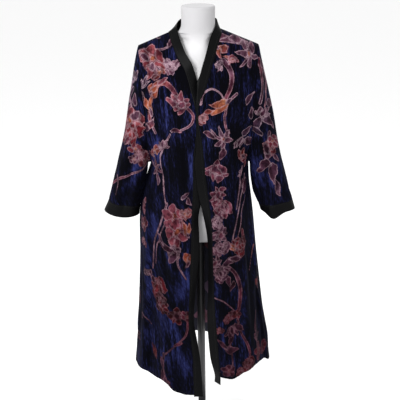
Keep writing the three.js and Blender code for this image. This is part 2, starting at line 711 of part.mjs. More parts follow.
const velvetPieces = {
  back_panel: { grid: backGrid() },
  front_panel_right: { grid: frontGrid(rightEdge, rightSide, rightSleeveRows, rightFrontFolds, rightHem, 1) },
  front_panel_left: { grid: frontGrid(leftEdge, leftSide, leftSleeveRows, leftFrontFolds, leftHem, -1) },
  sleeve_right: { grid: sleeveGrid(rightSleeveRows, rightSleeveFolds, 1), wraps: true },
  sleeve_left: { grid: sleeveGrid(leftSleeveRows, leftSleeveFolds, -1), wraps: true },
};
const satinPieces = {
  cuff_right: { grid: cuffGrid(rightSleeveRows, rightSleeveFolds, rightCuffEnd, 1), wraps: true },
  cuff_left: { grid: cuffGrid(leftSleeveRows, leftSleeveFolds, leftCuffEnd, -1), wraps: true },
  front_band_right: { grid: bandGrid(rightEdge, 1) },
  front_band_left: { grid: bandGrid(leftEdge, -1) },
};

function addNormals(pieces) {
  for (const piece of Object.values(pieces)) {
    const centreOf = piece.wraps ? ringCentre(piece.grid) : bodyCentre;
    piece.normals = outwardNormals(piece.grid, piece.wraps, centreOf);
  }
}

// The shoulder seams lie flat on the form, so both walls stand square to their slope there.
function levelShoulders() {
  const backTop = velvetPieces.back_panel.normals[0];
  const lastBack = backTop.length - 1;
  for (const [name, side] of [['right', 1], ['left', -1]]) {
    const square = point(side * shoulderSlope, 0, 1).normalize();
    velvetPieces['front_panel_' + name].normals[0].forEach((normal) => normal.copy(square));
    for (let j = 0; j <= shoulderColumns; j += 1) {
      backTop[side > 0 ? lastBack - j : j].copy(square);
    }
  }
}

// Seams share one normal at each point, so the walls meet like mitred boards.
function joinSeams() {
  const meeting = new Map();
  for (const piece of [...Object.values(velvetPieces), ...Object.values(satinPieces)]) {
    piece.grid.forEach((row, i) => row.forEach((p, j) => {
      const place = p.toArray().map((value) => Math.round(value * seamRounding)).join(' ');
      const normals = meeting.get(place) || [];
      normals.push(piece.normals[i][j]);
      meeting.set(place, normals);
    }));
  }
  for (const normals of meeting.values()) {
    const mean = normals.reduce((sum, normal) => sum.add(normal), point(0, 0, 0)).normalize();
    normals.forEach((normal) => normal.copy(mean));
  }
}

function pullRow(piece, i, next) {
  const row = piece.grid[i];
  const last = row.length - 1;
  const before = (j) => (piece.wraps ? (j + last) % (last + 1) : Math.max(0, j - 1));
  const after = (j) => (piece.wraps ? (j + 1) % (last + 1) : Math.min(last, j + 1));
  piece.grid[i] = row.map((p, j) => {
    const seamWay = row[after(j)].clone().sub(row[before(j)]);
    return pullBack(p, piece.grid[next][j], seamWay, piece.normals[i][j]);
  });
}

function pullColumn(piece, j, next) {
  const last = piece.grid.length - 1;
  const moved = piece.grid.map((row, i) => {
    const seamWay = piece.grid[Math.min(last, i + 1)][j].clone().sub(piece.grid[Math.max(0, i - 1)][j]);
    return pullBack(row[j], row[next], seamWay, piece.normals[i][j]);
  });
  moved.forEach((p, i) => {
    piece.grid[i][j] = p;
  });
}

function openSeams() {
  const back = velvetPieces.back_panel;
  const lastBack = back.grid[0].length - 1;
  pullRow(back, 0, 1);
  pullColumn(back, 0, 1);
  pullColumn(back, lastBack, lastBack - 1);
  for (const name of ['right', 'left']) {
    const front = velvetPieces['front_panel_' + name];
    pullRow(front, 0, 1);
    pullColumn(front, 0, 1);
    pullColumn(front, frontColumns, frontColumns - 1);
    pullRow(velvetPieces['sleeve_' + name], 0, 1);
    pullRow(velvetPieces['sleeve_' + name], sleeveSteps, sleeveSteps - 1);
    pullRow(satinPieces['cuff_' + name], 0, 1);
    pullRow(satinPieces['front_band_' + name], 0, 1);
    pullColumn(satinPieces['front_band_' + name], 0, 1);
  }
}

function formRing(row) {
  const ring = [];
  for (let j = 0; j < formSides; j += 1) {
    const angle = 2 * Math.PI * j / formSides;
    const c = Math.cos(angle);
    const s = Math.sin(angle);
    const depth = s > 0 ? row.rear : row.front;
    const x = Math.sign(c) * row.half * Math.pow(Math.abs(c), 2 / row.power);
    const y = Math.sign(s) * depth * Math.pow(Math.abs(s), 2 / row.power);
    const neckDepth = (s > 0 ? row.neckRear : row.neckFront) || 0;
    const neck = s * neckDepth * Math.exp(-x * x / (neckSpread * neckSpread));
    ring.push(point(x, shoulderY + y + neck, row.z));
  }
  return ring;
}

// Torso of the dress form: rings from the underside to the neck, its shoulders under the seams.
function formTorso() {
  const ridge = (half) => shoulderTopZ - formClearance - shoulderSlope * (half - shoulderTopX);
  const sloped = formTopRows.map((row) => ({ ...row, z: ridge(row.half) - row.sink }));
  const rings = [...formRows, ...sloped, ...neckRows].map(formRing);
  const positions = [];
  for (const ring of rings) {
    for (const p of ring) {
      positions.push(p.x, p.y, p.z);
    }
  }
  const faces = [];
  for (let i = 0; i < rings.length - 1; i += 1) {
    for (let j = 0; j < formSides; j += 1) {
      const a = i * formSides + j;
      const b = i * formSides + (j + 1) % formSides;
      faces.push(a, b, b + formSides, a, b + formSides, a + formSides);
    }
  }
  const bottom = positions.length / 3;
  positions.push(0, shoulderY, formRows[0].z);
  positions.push(0, shoulderY, neckRows[neckRows.length - 1].z);
  const topStart = (rings.length - 1) * formSides;
  for (let j = 0; j < formSides; j += 1) {
    const next = (j + 1) % formSides;
    faces.push(bottom, next, j);
    faces.push(bottom + 1, topStart + j, topStart + next);
  }
  const geometry = new THREE.BufferGeometry();
  geometry.setAttribute('position', new THREE.Float32BufferAttribute(positions, 3));
  geometry.setIndex(faces);
  return solid('form_torso', geometry, formCloth);
}

function standPole() {
  const height = formBottomZ - seamGap - poleBottomZ;
  const geometry = new THREE.CylinderGeometry(poleRadius, poleRadius, height, poleSides);
  geometry.rotateX(Math.PI / 2);
  geometry.translate(0, 0, poleBottomZ + height / 2);
  return solid('stand_pole', geometry, darkMetal);
}

function standBase() {
  const profile = [
    new THREE.Vector2(0, 0),
    new THREE.Vector2(baseRadius - baseFootBevel, 0),
    new THREE.Vector2(baseRadius, baseFootBevel),
    new THREE.Vector2(baseRadius, baseHeight - baseTopBevel),
    new THREE.Vector2(baseRadius - baseTopBevel, baseHeight),
    new THREE.Vector2(0, baseHeight),
  ];
  const geometry = new THREE.LatheGeometry(profile, baseSides);
  geometry.rotateX(Math.PI / 2);
  return solid('stand_base', geometry, darkMetal);
}

addNormals(velvetPieces);
addNormals(satinPieces);
levelShoulders();
joinSeams();
openSeams();

const part = new THREE.Group();
for (const [name, piece] of Object.entries(velvetPieces)) {
  const geometry = wallGeometry(piece.grid, piece.normals, velvetWall, piece.wraps);
  part.add(solid(name, geometry, velvet));
}
for (const [name, piece] of Object.entries(satinPieces)) {
  const geometry = wallGeometry(piece.grid, piece.normals, satinWall, piece.wraps);
  part.add(solid(name, geometry, satin));
}
part.add(formTorso());
part.add(standPole());
part.add(standBase());

export default part;
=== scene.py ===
import math
import bpy
import numpy as np
from mathutils import Matrix, Vector


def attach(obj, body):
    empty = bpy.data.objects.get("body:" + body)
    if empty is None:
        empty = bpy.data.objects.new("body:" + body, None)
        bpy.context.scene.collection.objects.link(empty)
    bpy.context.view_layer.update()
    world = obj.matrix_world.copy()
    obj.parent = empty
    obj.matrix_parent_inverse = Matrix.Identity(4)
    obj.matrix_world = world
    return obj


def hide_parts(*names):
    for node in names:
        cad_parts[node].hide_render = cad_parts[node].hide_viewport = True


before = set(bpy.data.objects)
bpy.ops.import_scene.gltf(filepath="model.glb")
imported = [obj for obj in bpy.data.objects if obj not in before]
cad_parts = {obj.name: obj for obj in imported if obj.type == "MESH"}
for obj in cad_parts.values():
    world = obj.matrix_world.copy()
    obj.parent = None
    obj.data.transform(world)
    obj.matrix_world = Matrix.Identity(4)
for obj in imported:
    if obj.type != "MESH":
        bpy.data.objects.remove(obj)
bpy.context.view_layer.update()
print("frame loaded:", len(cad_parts), "nodes")

# Sizes are in millimetres until a mesh is made. +X is the viewer's right, -Y the front.


# Small helpers for tables and smooth steps

def table(names, *rows):
    columns = np.array(rows, dtype=float).T
    return dict(zip(names.split(), columns))


def readTable(rows, key, column, value):
    keys, data = rows[key], rows[column]
    value = np.asarray(value, dtype=float)
    sign = 1.0 if keys[-1] > keys[0] else -1.0
    last = len(keys) - 1
    i = np.clip(np.searchsorted(sign * keys, sign * value) - 1, 0, last - 1)
    before, after = np.maximum(0, i - 1), np.minimum(last, i + 2)
    span = keys[i + 1] - keys[i]
    t = np.clip((value - keys[i]) / span, 0, 1)
    slopeA = (data[i + 1] - data[before]) / (keys[i + 1] - keys[before]) * span
    slopeB = (data[after] - data[i]) / (keys[after] - keys[i]) * span
    return ((2 * t**3 - 3 * t**2 + 1) * data[i] + (t**3 - 2 * t**2 + t) * slopeA
            + (3 * t**2 - 2 * t**3) * data[i + 1] + (t**3 - t**2) * slopeB)


def smooth(value):
    t = np.clip(value, 0, 1)
    return t * t * (3 - 2 * t)


def stack(x, y, z):
    return np.stack(np.broadcast_arrays(x, y, z), axis=-1).astype(float)


def mixed(a, b, t):
    return a + (b - a) * np.asarray(t)[..., None]


def unit(v):
    return v / np.maximum(np.linalg.norm(v, axis=-1, keepdims=True), 1e-12)


def refineAxis(points, steps, wraps):  # a smooth curve through the points, along the first axis
    if wraps:
        padded = np.concatenate([points[-1:], points, points[:2]])
        spans = len(points)
    else:
        padded = np.concatenate([2 * points[:1] - points[1:2], points, 2 * points[-1:] - points[-2:-1]])
        spans = len(points) - 1
    t = (np.arange(steps) / steps).reshape((1, steps) + (1,) * (points.ndim - 1))
    a, b, c, d = (padded[k:k + spans][:, None] for k in range(4))
    values = 0.5 * (2 * b + (c - a) * t + (2 * a - 5 * b + 4 * c - d) * t**2 + (3 * b - a - 3 * c + d) * t**3)
    values = values.reshape((spans * steps,) + points.shape[1:])
    return values if wraps else np.concatenate([values, points[-1:]])


def refine(grid, rowSteps, columnSteps, wraps=False):
    rows = refineAxis(grid, rowSteps, False)
    return refineAxis(rows.swapaxes(0, 1), columnSteps, wraps).swapaxes(0, 1)


def gridNormals(grid, wraps=False):
    down = np.gradient(grid, axis=0)
    if wraps:
        across = np.roll(grid, -1, axis=1) - np.roll(grid, 1, axis=1)
    else:
        across = np.gradient(grid, axis=1)
    return unit(np.cross(across, down))


# The robe's sizes and tables

robe = {
    "shoulderSlope": 0.42, "shoulderTopZ": 1526, "shoulderTopX": 66, "shoulderTipX": 201.5, "shoulderY": 5,
    "armpitZ": 1062, "armpitFrontZ": 1030, "rowEasing": 1.45,
    "armholeSteps": 14, "skirtSteps": 12, "frontColumns": 13, "shoulderColumns": 7, "neckColumns": 12,
    "sleeveSteps": 12, "cuffSteps": 2, "velvetWall": 1.2, "satinWall": 1.5,
    "sleeveRowEasing": 1.12, "backRowEasing": 1.1, "firstBackRowZ": 1500, "shoulderRows": 3, "armpitRows": 5,
    "edgeReach": 0.5, "armholeReach": 0.3, "frontArmholeDepth": 0.13, "backArmholeDepth": 0.12,
    "sideDepth": 0.56, "middleRise": 0.4, "foldOnset": 1.6, "foldGrowth": 1.5,
    "bandFade": 0.12, "sideFade": 0.1, "hemPower": 4, "neckFollow": 0.55,
    "sleeveFoldOnset": 3, "sleeveFoldEnd": 1.15, "sleeveFoldFade": 4,
    "creaseTopFade": 0.03, "sleeveCreaseTopFade": 0.07, "sleeveCreaseEndFade": 0.1,
}
armholeSteps, skirtSteps = robe["armholeSteps"], robe["skirtSteps"]
allSteps = armholeSteps + skirtSteps

edgeNames = "z x y back rise seen turn"
rightEdge = table(
    edgeNames,
    (1523.9, 71, 5, 62, 56, 26, 0), (1518, 77, -12, 40, 50, 26, 0), (1507, 78, -36, 8, 34, 26, 0),
    (1488, 67, -56, 5, 22, 26, 0), (1462, 60, -74, 5, 24, 26, 0), (1404, 41, -100, 0, 30, 26, 0),
    (1345, 22.5, -126, 4, 28, 25, 30), (1318, 7, -142, 2, 18, 14, 165), (1297, -1, -149, 2, 6, 7, 172),
    (1255, -2.5, -152, 2, 0, 6, 173), (1208, 2.6, -154, 2, 0, 11, 172), (1168, 10, -155, 2, 0, 18, 168),
    (1112, 15.6, -156, 2, 0, 26, 40), (1051, 19, -157, 3, 0, 26, 0), (990, 28, -158, 8, 0, 26, 0),
    (940, 32, -158, 30, 0, 26, 0), (885, 40, -158, 40, 0, 26, 0), (804, 41.5, -159, 62, 0, 26, 0),
    (602, 47, -164, 45, 0, 26, 0), (490, 54, -170, 8, 0, 26, 0), (369, 62, -182, 25, 0, 26, 0),
    (314, 66, -190, 52, 0, 26, 0),
)
leftEdge = table(
    edgeNames,
    (1511.7, 100, 5, -8, 30, 26, 0), (1477, 86.5, -48, 12, 30, 26, 0), (1433, 66, -80, 0, 32, 26, 0),
    (1404, 47.5, -98, 5, 34, 26, 0), (1345, 28, -117, 34, 26, 26, 0), (1313, 22, -130, 14, 10, 26, 0),
    (1285, 12, -138, 8, 0, 26, 0), (1208, 10, -143, 6, 0, 26, 0), (1112, 21, -146, 4, 0, 26, 0),
    (990, 24, -148, 6, 0, 26, 0), (940, 28, -149, 30, 0, 26, 0), (885, 30, -151, 44, 0, 26, 0),
    (804, 32, -154, 28, 0, 26, 0), (602, 42, -162, 48, 0, 26, 0), (518, 45, -167, 56, 0, 26, 0),
    (400, 32, -178, 44, 0, 26, 0), (326, 31, -187, 24, 0, 26, 0), (246, 29, -196, 0, 0, 26, 0),
)
backNeck = table(
    "x y z freeX freeY freeZ step",
    (-100, 5, 1511.7, -72.5, 1, 1527.7, 0), (-82, 45, 1518, -66, 39, 1545, 1),
    (-46, 70, 1523, -41, 60, 1553, 2),
    (0, 77, 1525, 0, 68, 1556, 3), (42, 69, 1526, 38, 60, 1555, 4), (71, 5, 1523.9, 63, 21, 1549, 5),
)
sideNames = "z x y"
rightSide = table(
    sideNames,
    (1062, 169, 5), (1000, 172, 4), (899, 184.5, 3), (746, 198.5, 2), (528, 223, 0), (426, 237, 0),
    (303, 252, 0),
)
leftSide = table(
    sideNames,
    (1062, 169, 5), (1034, 178.6, 5), (1000, 189.8, 4), (950, 202, 4), (899, 211, 3), (800, 215, 3),
    (727, 217, 2),
    (568, 225, 0), (405, 236, 0), (288, 247, 0),
)
backMiddle = table(
    "z y",
    (1525, 77), (1490, 92), (1400, 112), (1290, 112), (1150, 104), (1000, 116), (860, 136), (700, 150),
    (500, 162), (318, 172),
)
sleeveNames = "outX outZ inX inZ y front rear step"
rightSleeveRows = table(
    sleeveNames,
    (201.5, 1469, 169, 1062, 5, 88, 78, 0), (211, 1424, 176, 1058, 4, 88, 76, 1),
    (229, 1350, 177.5, 1026, 2, 84, 72, 2),
    (249, 1262, 180, 1002, -1, 78, 66, 3), (264, 1170, 184, 977, -5, 71, 60, 4),
    (282, 1084, 188, 956, -9, 63, 55, 5),
    (304, 996, 197, 934, -13, 54, 49, 6), (325, 927, 207, 912, -15, 46, 43, 7),
)
leftSleeveRows = table(
    sleeveNames,
    (201.5, 1469, 169, 1062, 5, 88, 78, 0), (211, 1424, 180, 1060, 4, 88, 76, 1),
    (226, 1350, 183, 1034, 2, 85, 72, 2),
    (242, 1262, 189.3, 1005, -1, 80, 66, 3), (258, 1170, 195.6, 978, -5, 74, 60, 4),
    (280, 1084, 201, 956, -9, 66, 56, 5),
    (303, 996, 206, 936, -13, 58, 52, 6), (321, 930, 210.8, 914, -15, 52, 49, 7),
)
cuffEndNames = "outX outZ inX inZ y front rear dip dipAt dipWidth"
rightCuffEnd = table(cuffEndNames, (335, 892, 214, 889, -16, 45, 43, 25, 107, 26))
leftCuffEnd = table(cuffEndNames, (338, 894, 215, 880, -16, 52, 50, 7, 90, 60))

foldNames = "across drift top bottom width depth"
rightFrontFolds = table(
    foldNames,
    (0.22, 0.04, 1250, 250, 0.08, -9), (0.45, 0.02, 980, 250, 0.1, 13), (0.68, 0.02, 1100, 250, 0.08, -13),
    (0.86, 0.0, 900, 250, 0.07, 8),
)
leftFrontFolds = table(
    foldNames,
    (0.25, 0.05, 1000, 220, 0.1, 12), (0.5, 0.03, 1180, 220, 0.08, -11), (0.72, -0.02, 950, 220, 0.09, 11),
    (0.9, 0.0, 1000, 220, 0.06, -7),
)
backFolds = table(
    foldNames,
    (-0.78, 0.0, 1080, 280, 0.09, 10), (-0.5, -0.04, 1180, 280, 0.1, -13),
    (-0.2, -0.02, 1000, 280, 0.1, 12),
    (0.1, 0.03, 1150, 280, 0.1, -12), (0.4, 0.02, 980, 280, 0.1, 12), (0.7, 0.02, 1120, 280, 0.09, -12),
)
sleeveFoldNames = "around drift top bottom width depth"
rightSleeveFolds = table(
    sleeveFoldNames,
    (60, 10, 0.15, 1, 16, -7), (100, 14, 0.3, 1.1, 16, 7), (138, -6, 0.2, 0.95, 13, -7),
    (235, 8, 0.25, 1, 18, -7),
    (290, -8, 0.3, 1, 16, 6),
)
leftSleeveFolds = table(
    sleeveFoldNames,
    (48, 12, 0.2, 1, 15, 6), (84, 8, 0.25, 1.05, 14, -8), (125, -4, 0.15, 0.9, 14, 7),
    (228, 6, 0.2, 1, 17, 6),
    (285, -6, 0.25, 1, 16, -7),
)
rightHem = table(
    "across drop",
    (0, 0), (0.2, 12), (0.3, -2), (0.4, -18), (0.5, -36), (0.58, -31), (0.75, -14), (1, 0),
)
leftHem = table(
    "across drop",
    (0, 0), (0.115, 2), (0.23, -9), (0.33, -37), (0.43, -30), (0.53, -25), (0.66, -34), (0.77, -25), (1, 0),
)
bandSizes = {"width": 32, "foldLength": 6.3, "tuck": 1, "rightDrop": 31, "leftDrop": 3}


# The robe's panels as grids of points

def sleevePoint(row, side, angle):  # angle 0 is the outer line, 90 degrees the front
    half = 0.5 * np.cos(angle)
    depth = np.where(np.sin(angle) > 0, -row["front"], -row["rear"])
    dip = 0.0
    if "dip" in row:
        dip = row["dip"] * np.exp(-((np.degrees(angle) - row["dipAt"]) / row["dipWidth"]) ** 2)
    return stack(
        side * ((row["outX"] + row["inX"]) / 2 + half * (row["outX"] - row["inX"])),
        row["y"] + depth * np.sin(angle),
        (row["outZ"] + row["inZ"]) / 2 + half * (row["outZ"] - row["inZ"]) - dip,
    )


def firstRow(rows):
    return {name: data[0] for name, data in rows.items()}


def armholePoint(rows, side, i, toFront):
    return sleevePoint(firstRow(rows), side, math.pi * i / armholeSteps * toFront)


def edgeAt(edge, side, i):
    top, armpit, hem = edge["z"][0], robe["armpitFrontZ"], edge["z"][-1]
    upper = top + (armpit - top) * np.minimum(1, i / armholeSteps) ** robe["rowEasing"]
    low = np.maximum(0, (i - armholeSteps) / skirtSteps)
    z = np.where(i <= armholeSteps, upper, armpit + (hem - armpit) * low)
    row = {name: readTable(edge, "z", name, z) for name in ("x", "y", "back", "rise", "seen", "turn")}
    row["point"] = stack(side * row["x"], row["y"], z)
    return row


def sidePoint(seam, side, i):
    z = robe["armpitZ"] + (seam["z"][-1] - robe["armpitZ"]) * (i - armholeSteps) / skirtSteps
    return stack(side * readTable(seam, "z", "x", z), readTable(seam, "z", "y", z), z)


def foldOffset(folds, across, z):
    offset = 0.0
    for at, drift, top, bottom, width, depth in zip(*(folds[name] for name in foldNames.split())):
        t = (top - z) / (top - bottom)
        gap = (across - at - drift * t) / width
        growth = 1 + (robe["foldGrowth"] - 1) * np.maximum(0, t)
        offset = offset + depth * np.exp(-gap * gap) * smooth(t * robe["foldOnset"]) * growth
    return offset


def bezier(a, b, c, d, t):
    t = t[None, :, None]
    s = 1 - t
    a, b, c, d = (p[:, None, :] for p in (a, b, c, d))
    return a * s**3 + b * 3 * s * s * t + c * 3 * s * t * t + d * t**3


def frontGrid(edge, seam, sleeve, folds, hem, side):
    i = np.arange(allSteps + 1.0)
    inner = edgeAt(edge, side, i)["point"]
    outer = np.where((i <= armholeSteps)[:, None], armholePoint(sleeve, side, i, 1), sidePoint(seam, side, i))
    reach = np.abs(outer[:, 0] - inner[:, 0])
    turn = smooth((i - armholeSteps + robe["armpitRows"]) / robe["armpitRows"])
    shoulder = smooth(1 - i / robe["shoulderRows"])
    flat = (outer - inner) / 3
    innerHandle = mixed(stack(side * reach * robe["edgeReach"], 0, flat[:, 2]), flat, shoulder)
    sleeveWay = stack(-side * reach * robe["armholeReach"], -reach * robe["frontArmholeDepth"], -flat[:, 2])
    sideWay = stack(0, (inner[:, 1] - outer[:, 1]) * robe["sideDepth"], -flat[:, 2])
    outerHandle = mixed(mixed(sleeveWay, sideWay, turn), -flat, shoulder)
    u = np.linspace(0, 1, robe["frontColumns"] + 1)
    grid = bezier(inner, inner + innerHandle, outer + outerHandle, outer, u)
    fade = smooth(u / robe["bandFade"]) * smooth((1 - u) / robe["sideFade"])
    grid[:, :, 1] -= foldOffset(folds, u[None, :], grid[:, :, 2]) * fade
    low = np.maximum(0, (i - armholeSteps) / skirtSteps)
    grid[:, :, 2] -= readTable(hem, "across", "drop", u)[None, :] * (low ** robe["hemPower"])[:, None]
    return grid


def neckRow(j):
    step = np.asarray(j) / robe["neckColumns"] * backNeck["step"][-1]
    seam, free = (
        stack(*(readTable(backNeck, "step", name, step) for name in names))
        for names in (("x", "y", "z"), ("freeX", "freeY", "freeZ"))
    )
    return seam, free


def backTopRow():
    tipZ = robe["shoulderTopZ"] - robe["shoulderSlope"] * (robe["shoulderTipX"] - robe["shoulderTopX"])
    left = np.array([-robe["shoulderTipX"], robe["shoulderY"], tipZ])
    right = left * [-1, 1, 1]
    first, last = (np.array([backNeck[name][k] for name in "xyz"]) for k in (0, -1))
    along = (np.arange(robe["shoulderColumns"]) / robe["shoulderColumns"])[:, None]
    neck = neckRow(np.arange(robe["neckColumns"] + 1))[0]
    return np.concatenate([left + (first - left) * along, neck, (right + (last - right) * along)[::-1]])


def backGrid():
    top = backTopRow()
    columns = len(top) - 1
    half = columns / 2
    i = np.arange(1, allSteps + 1.0)
    inArmhole = i <= armholeSteps
    right = np.where(inArmhole[:, None], armholePoint(rightSleeveRows, 1, i, -1), sidePoint(rightSide, 1, i))
    left = np.where(inArmhole[:, None], armholePoint(leftSleeveRows, -1, i, -1), sidePoint(leftSide, -1, i))
    low = (i - armholeSteps) / skirtSteps
    first, armpit, hem = robe["firstBackRowZ"], robe["armpitFrontZ"], backMiddle["z"][-1]
    share = np.clip((i - 1) / (armholeSteps - 1), 0, 1) ** robe["backRowEasing"]
    upper = first + (armpit - first) * share
    middleZ = np.where(inArmhole, upper, armpit + (hem - armpit) * low)
    middle = stack(0, readTable(backMiddle, "z", "y", middleZ), middleZ)
    turn = smooth((i - armholeSteps + robe["armpitRows"]) / robe["armpitRows"])
    grid = np.zeros((allSteps + 1, columns + 1, 3))
    grid[0] = top
    for j in range(columns + 1):
        outer, side = (left, -1) if j < half else (right, 1)
        u = abs(j - half) / half
        reach = np.abs(outer[:, 0])
        rise = (outer[:, 2] - middle[:, 2]) / 3
        middleHandle = middle + stack(side * reach * robe["edgeReach"], 0, rise * robe["middleRise"])
        sleeveWay = stack(-side * reach * robe["armholeReach"], reach * robe["backArmholeDepth"], -rise)
        sideWay = stack(0, (middle[:, 1] - outer[:, 1]) * robe["sideDepth"], -rise)
        p = bezier(middle, middleHandle, outer + mixed(sleeveWay, sideWay, turn), outer, np.array([u]))[:, 0]
        follow = (1 - np.minimum(1, i / armholeSteps)) ** 2 * robe["neckFollow"]
        middleTop = top[round(half), 2]
        p[:, 2] += (top[j, 2] - (middleTop + (outer[:, 2] - middleTop) * u)) * follow * (1 - u)
        p[:, 1] += foldOffset(backFolds, side * u, p[:, 2]) * smooth((1 - u) / robe["sideFade"])
        grid[1:, j] = p
    return grid


def sleeveGrid(rows, folds, side):
    t = np.arange(robe["sleeveSteps"] + 1) / robe["sleeveSteps"]
    step = t ** robe["sleeveRowEasing"] * (len(rows["step"]) - 1)
    row = {name: readTable(rows, "step", name, step)[:, None] for name in rows if name != "step"}
    angle = (math.pi * np.arange(armholeSteps * 2) / armholeSteps)[None, :]
    grid = sleevePoint(row, side, angle)
    degrees = np.degrees(angle)
    push = 0.0
    for around, drift, top, bottom, width, depth in zip(*(folds[name] for name in sleeveFoldNames.split())):
        along = (t[:, None] - top) / (bottom - top)
        gap = (degrees - around - drift * along) / width
        onset = smooth(along * robe["sleeveFoldOnset"])
        end = smooth((robe["sleeveFoldEnd"] - along) * robe["sleeveFoldFade"])
        push = push + depth * np.exp(-gap * gap) * onset * end
    push = push * np.abs(np.sin(angle))
    grid[:, :, 1] += np.where(np.sin(angle) > 0, -push, push)
    return grid


def cuffGrid(sleeve, end, side):
    angle = (math.pi * np.arange(armholeSteps * 2) / armholeSteps)[None, :]
    last = sleevePoint({name: data[0] for name, data in end.items()}, side, angle)[0]
    steps = (np.arange(robe["cuffSteps"] + 1) / robe["cuffSteps"])[:, None, None]
    return sleeve[-1][None] + (last - sleeve[-1])[None] * steps


def bandSection(start, way, behind, seen, turn):
    width, fold = bandSizes["width"], bandSizes["foldLength"]
    places = np.stack([0 * seen, seen / 2, seen, seen + fold / 2, seen + fold, (seen + fold + width) / 2,
                       0 * seen + width], axis=1)
    seen = seen[:, None]
    angle = np.radians(turn)[:, None]
    arc = np.clip(places - seen, 0, fold)
    rest = np.maximum(0, places - seen - fold)
    bent = angle > 0.01
    radius = fold / np.where(bent, angle, 1)
    swept = arc / radius
    folded = radius * np.sin(swept) + rest * np.cos(angle)
    along = np.minimum(places, seen) + np.where(bent, folded, arc + rest)
    back = np.where(bent, radius * (1 - np.cos(swept)) + rest * np.sin(angle), 0)
    return start[:, None] + way[:, None] * along[..., None] + behind[:, None] * back[..., None]


def bandGrid(edge, side, drop):
    k = np.arange(robe["neckColumns"] // 2)
    seam, free = neckRow(robe["neckColumns"] // 2 + k * side)
    seen = np.full(len(k), bandSizes["width"] - bandSizes["foldLength"] - bandSizes["tuck"])
    neck = bandSection(seam, unit(free - seam), np.tile([0.0, 1, 0], (len(k), 1)), seen, seen * 0)
    row = edgeAt(edge, side, np.arange(allSteps + 1.0))
    start = np.concatenate([row["point"], row["point"][-1:] + [0, -1, -drop]])
    names = ("back", "rise", "seen", "turn")
    back, rise, seen, turn = (np.append(row[name], row[name][-1]) for name in names)
    back, rise = np.radians(back), np.radians(rise)
    way = stack(-side * np.cos(back) * np.cos(rise), np.sin(back) * np.cos(rise), np.sin(rise))
    behind = stack(side * np.sin(back), np.cos(back), 0)
    return np.concatenate([neck, bandSection(start, way, behind, seen - bandSizes["tuck"], turn)])


# Flat coordinates of the cloth, so that flowers lie on it unstretched

def horizontalArc(grid):
    step = np.linalg.norm(np.diff(grid[:, :, :2], axis=1), axis=2)
    return np.concatenate([np.zeros((len(grid), 1)), np.cumsum(step, axis=1)], axis=1)


def frontChart(grid, side):
    return np.stack([side * (np.abs(grid[:, :1, 0]) + horizontalArc(grid)), grid[:, :, 2]], axis=2)


def backChart(grid):
    arc = horizontalArc(grid)
    middle = grid.shape[1] // 2
    return np.stack([arc - arc[:, middle:middle + 1], grid[:, :, 2]], axis=2)


def sleeveChart(grid):  # the grid starts and ends at the inner line and crosses the outer line half way
    closed = np.concatenate([grid, grid[:, :1]], axis=1)
    step = np.linalg.norm(np.diff(closed, axis=1), axis=2)
    arc = np.concatenate([np.zeros((len(grid), 1)), np.cumsum(step, axis=1)], axis=1)
    middle = closed.shape[1] // 2
    arc = arc - arc[:, middle:middle + 1]
    flat = closed[:, :, [0, 2]]
    outer, inner = flat[:, middle], flat[:, 0]
    way = unit(inner - outer)
    line = unit(np.gradient(outer, axis=0))
    mirrored = 2 * (way * line).sum(axis=1, keepdims=True) * line - way
    front = outer[:, None] + way[:, None] * arc[..., None]
    behind = outer[:, None] - mirrored[:, None] * arc[..., None]
    return np.where(arc[..., None] >= 0, front, behind)


# Creases listed one by one, soft troughs and ridges between two places of the flat cloth: x0 z0 x1 z1 width
# depth

def creaseOffset(chart, creases):
    offset = np.zeros(chart.shape[:2])
    for x0, z0, x1, z1, width, depth in creases:
        start, way = np.array([x0, z0]), np.array([x1 - x0, z1 - z0])
        length = np.linalg.norm(way)
        way = way / length
        local = chart - start
        along = (local @ way) / length
        bow = 0.05 * length * np.sin(np.pi * np.clip(along, 0, 1))
        off = (local @ np.array([-way[1], way[0]]) - bow) / width
        offset += depth * np.exp(-off * off) * smooth(along * 3.5) * smooth((1 - along) * 3)
    return offset


ripples = ((61, 0.9), (37, 1.3), (23, 1.9))  # length and drift of each


def rippleOffset(chart, height, seed):  # fine upright wrinkles of hanging velvet
    x, z = chart[:, :, 0], chart[:, :, 1]
    total = 0.0
    for k, (length, drift) in enumerate(ripples):
        phase = seed * (k + 1.7) + drift * np.sin(z / (170 + 40 * k) + seed) + 0.5 * np.sin(z / 61 + k)
        strength = 0.55 + 0.45 * np.sin(z / (210 - 30 * k) + x / 90 + seed * 2.3)
        total = total + strength * np.sin(2 * np.pi * x / length + phase * 2) / (1 + 0.5 * k)
    return height * total


# Flowers, leaves and vines of the burnt-out pattern, as distances to their edges

flowerColours = {
    "lilac": (0.40, 0.33, 0.41), "mauve": (0.27, 0.19, 0.27), "plum": (0.15, 0.085, 0.15),
    "rose": (0.42, 0.19, 0.25), "coral": (0.46, 0.16, 0.16), "red": (0.30, 0.05, 0.065),
    "wine": (0.13, 0.026, 0.042), "orange": (0.60, 0.23, 0.11), "gold": (0.78, 0.53, 0.22),
    "grey": (0.22, 0.20, 0.27), "slate": (0.11, 0.11, 0.19), "pink": (0.54, 0.25, 0.27),
}
drawing = {
    "farEdge": 14.0, "farLine": 9.0, "bare": [0.2, 0.15, 0.2],  # where nothing is drawn
    "sways": ((150, 9.0), (71, 4.5), (33, 1.9), (17, 0.7)),  # length and reach of each
}


def turned(local, degrees):
    c, s = math.cos(math.radians(degrees)), math.sin(math.radians(degrees))
    return local @ np.array([[c, -s], [s, c]])


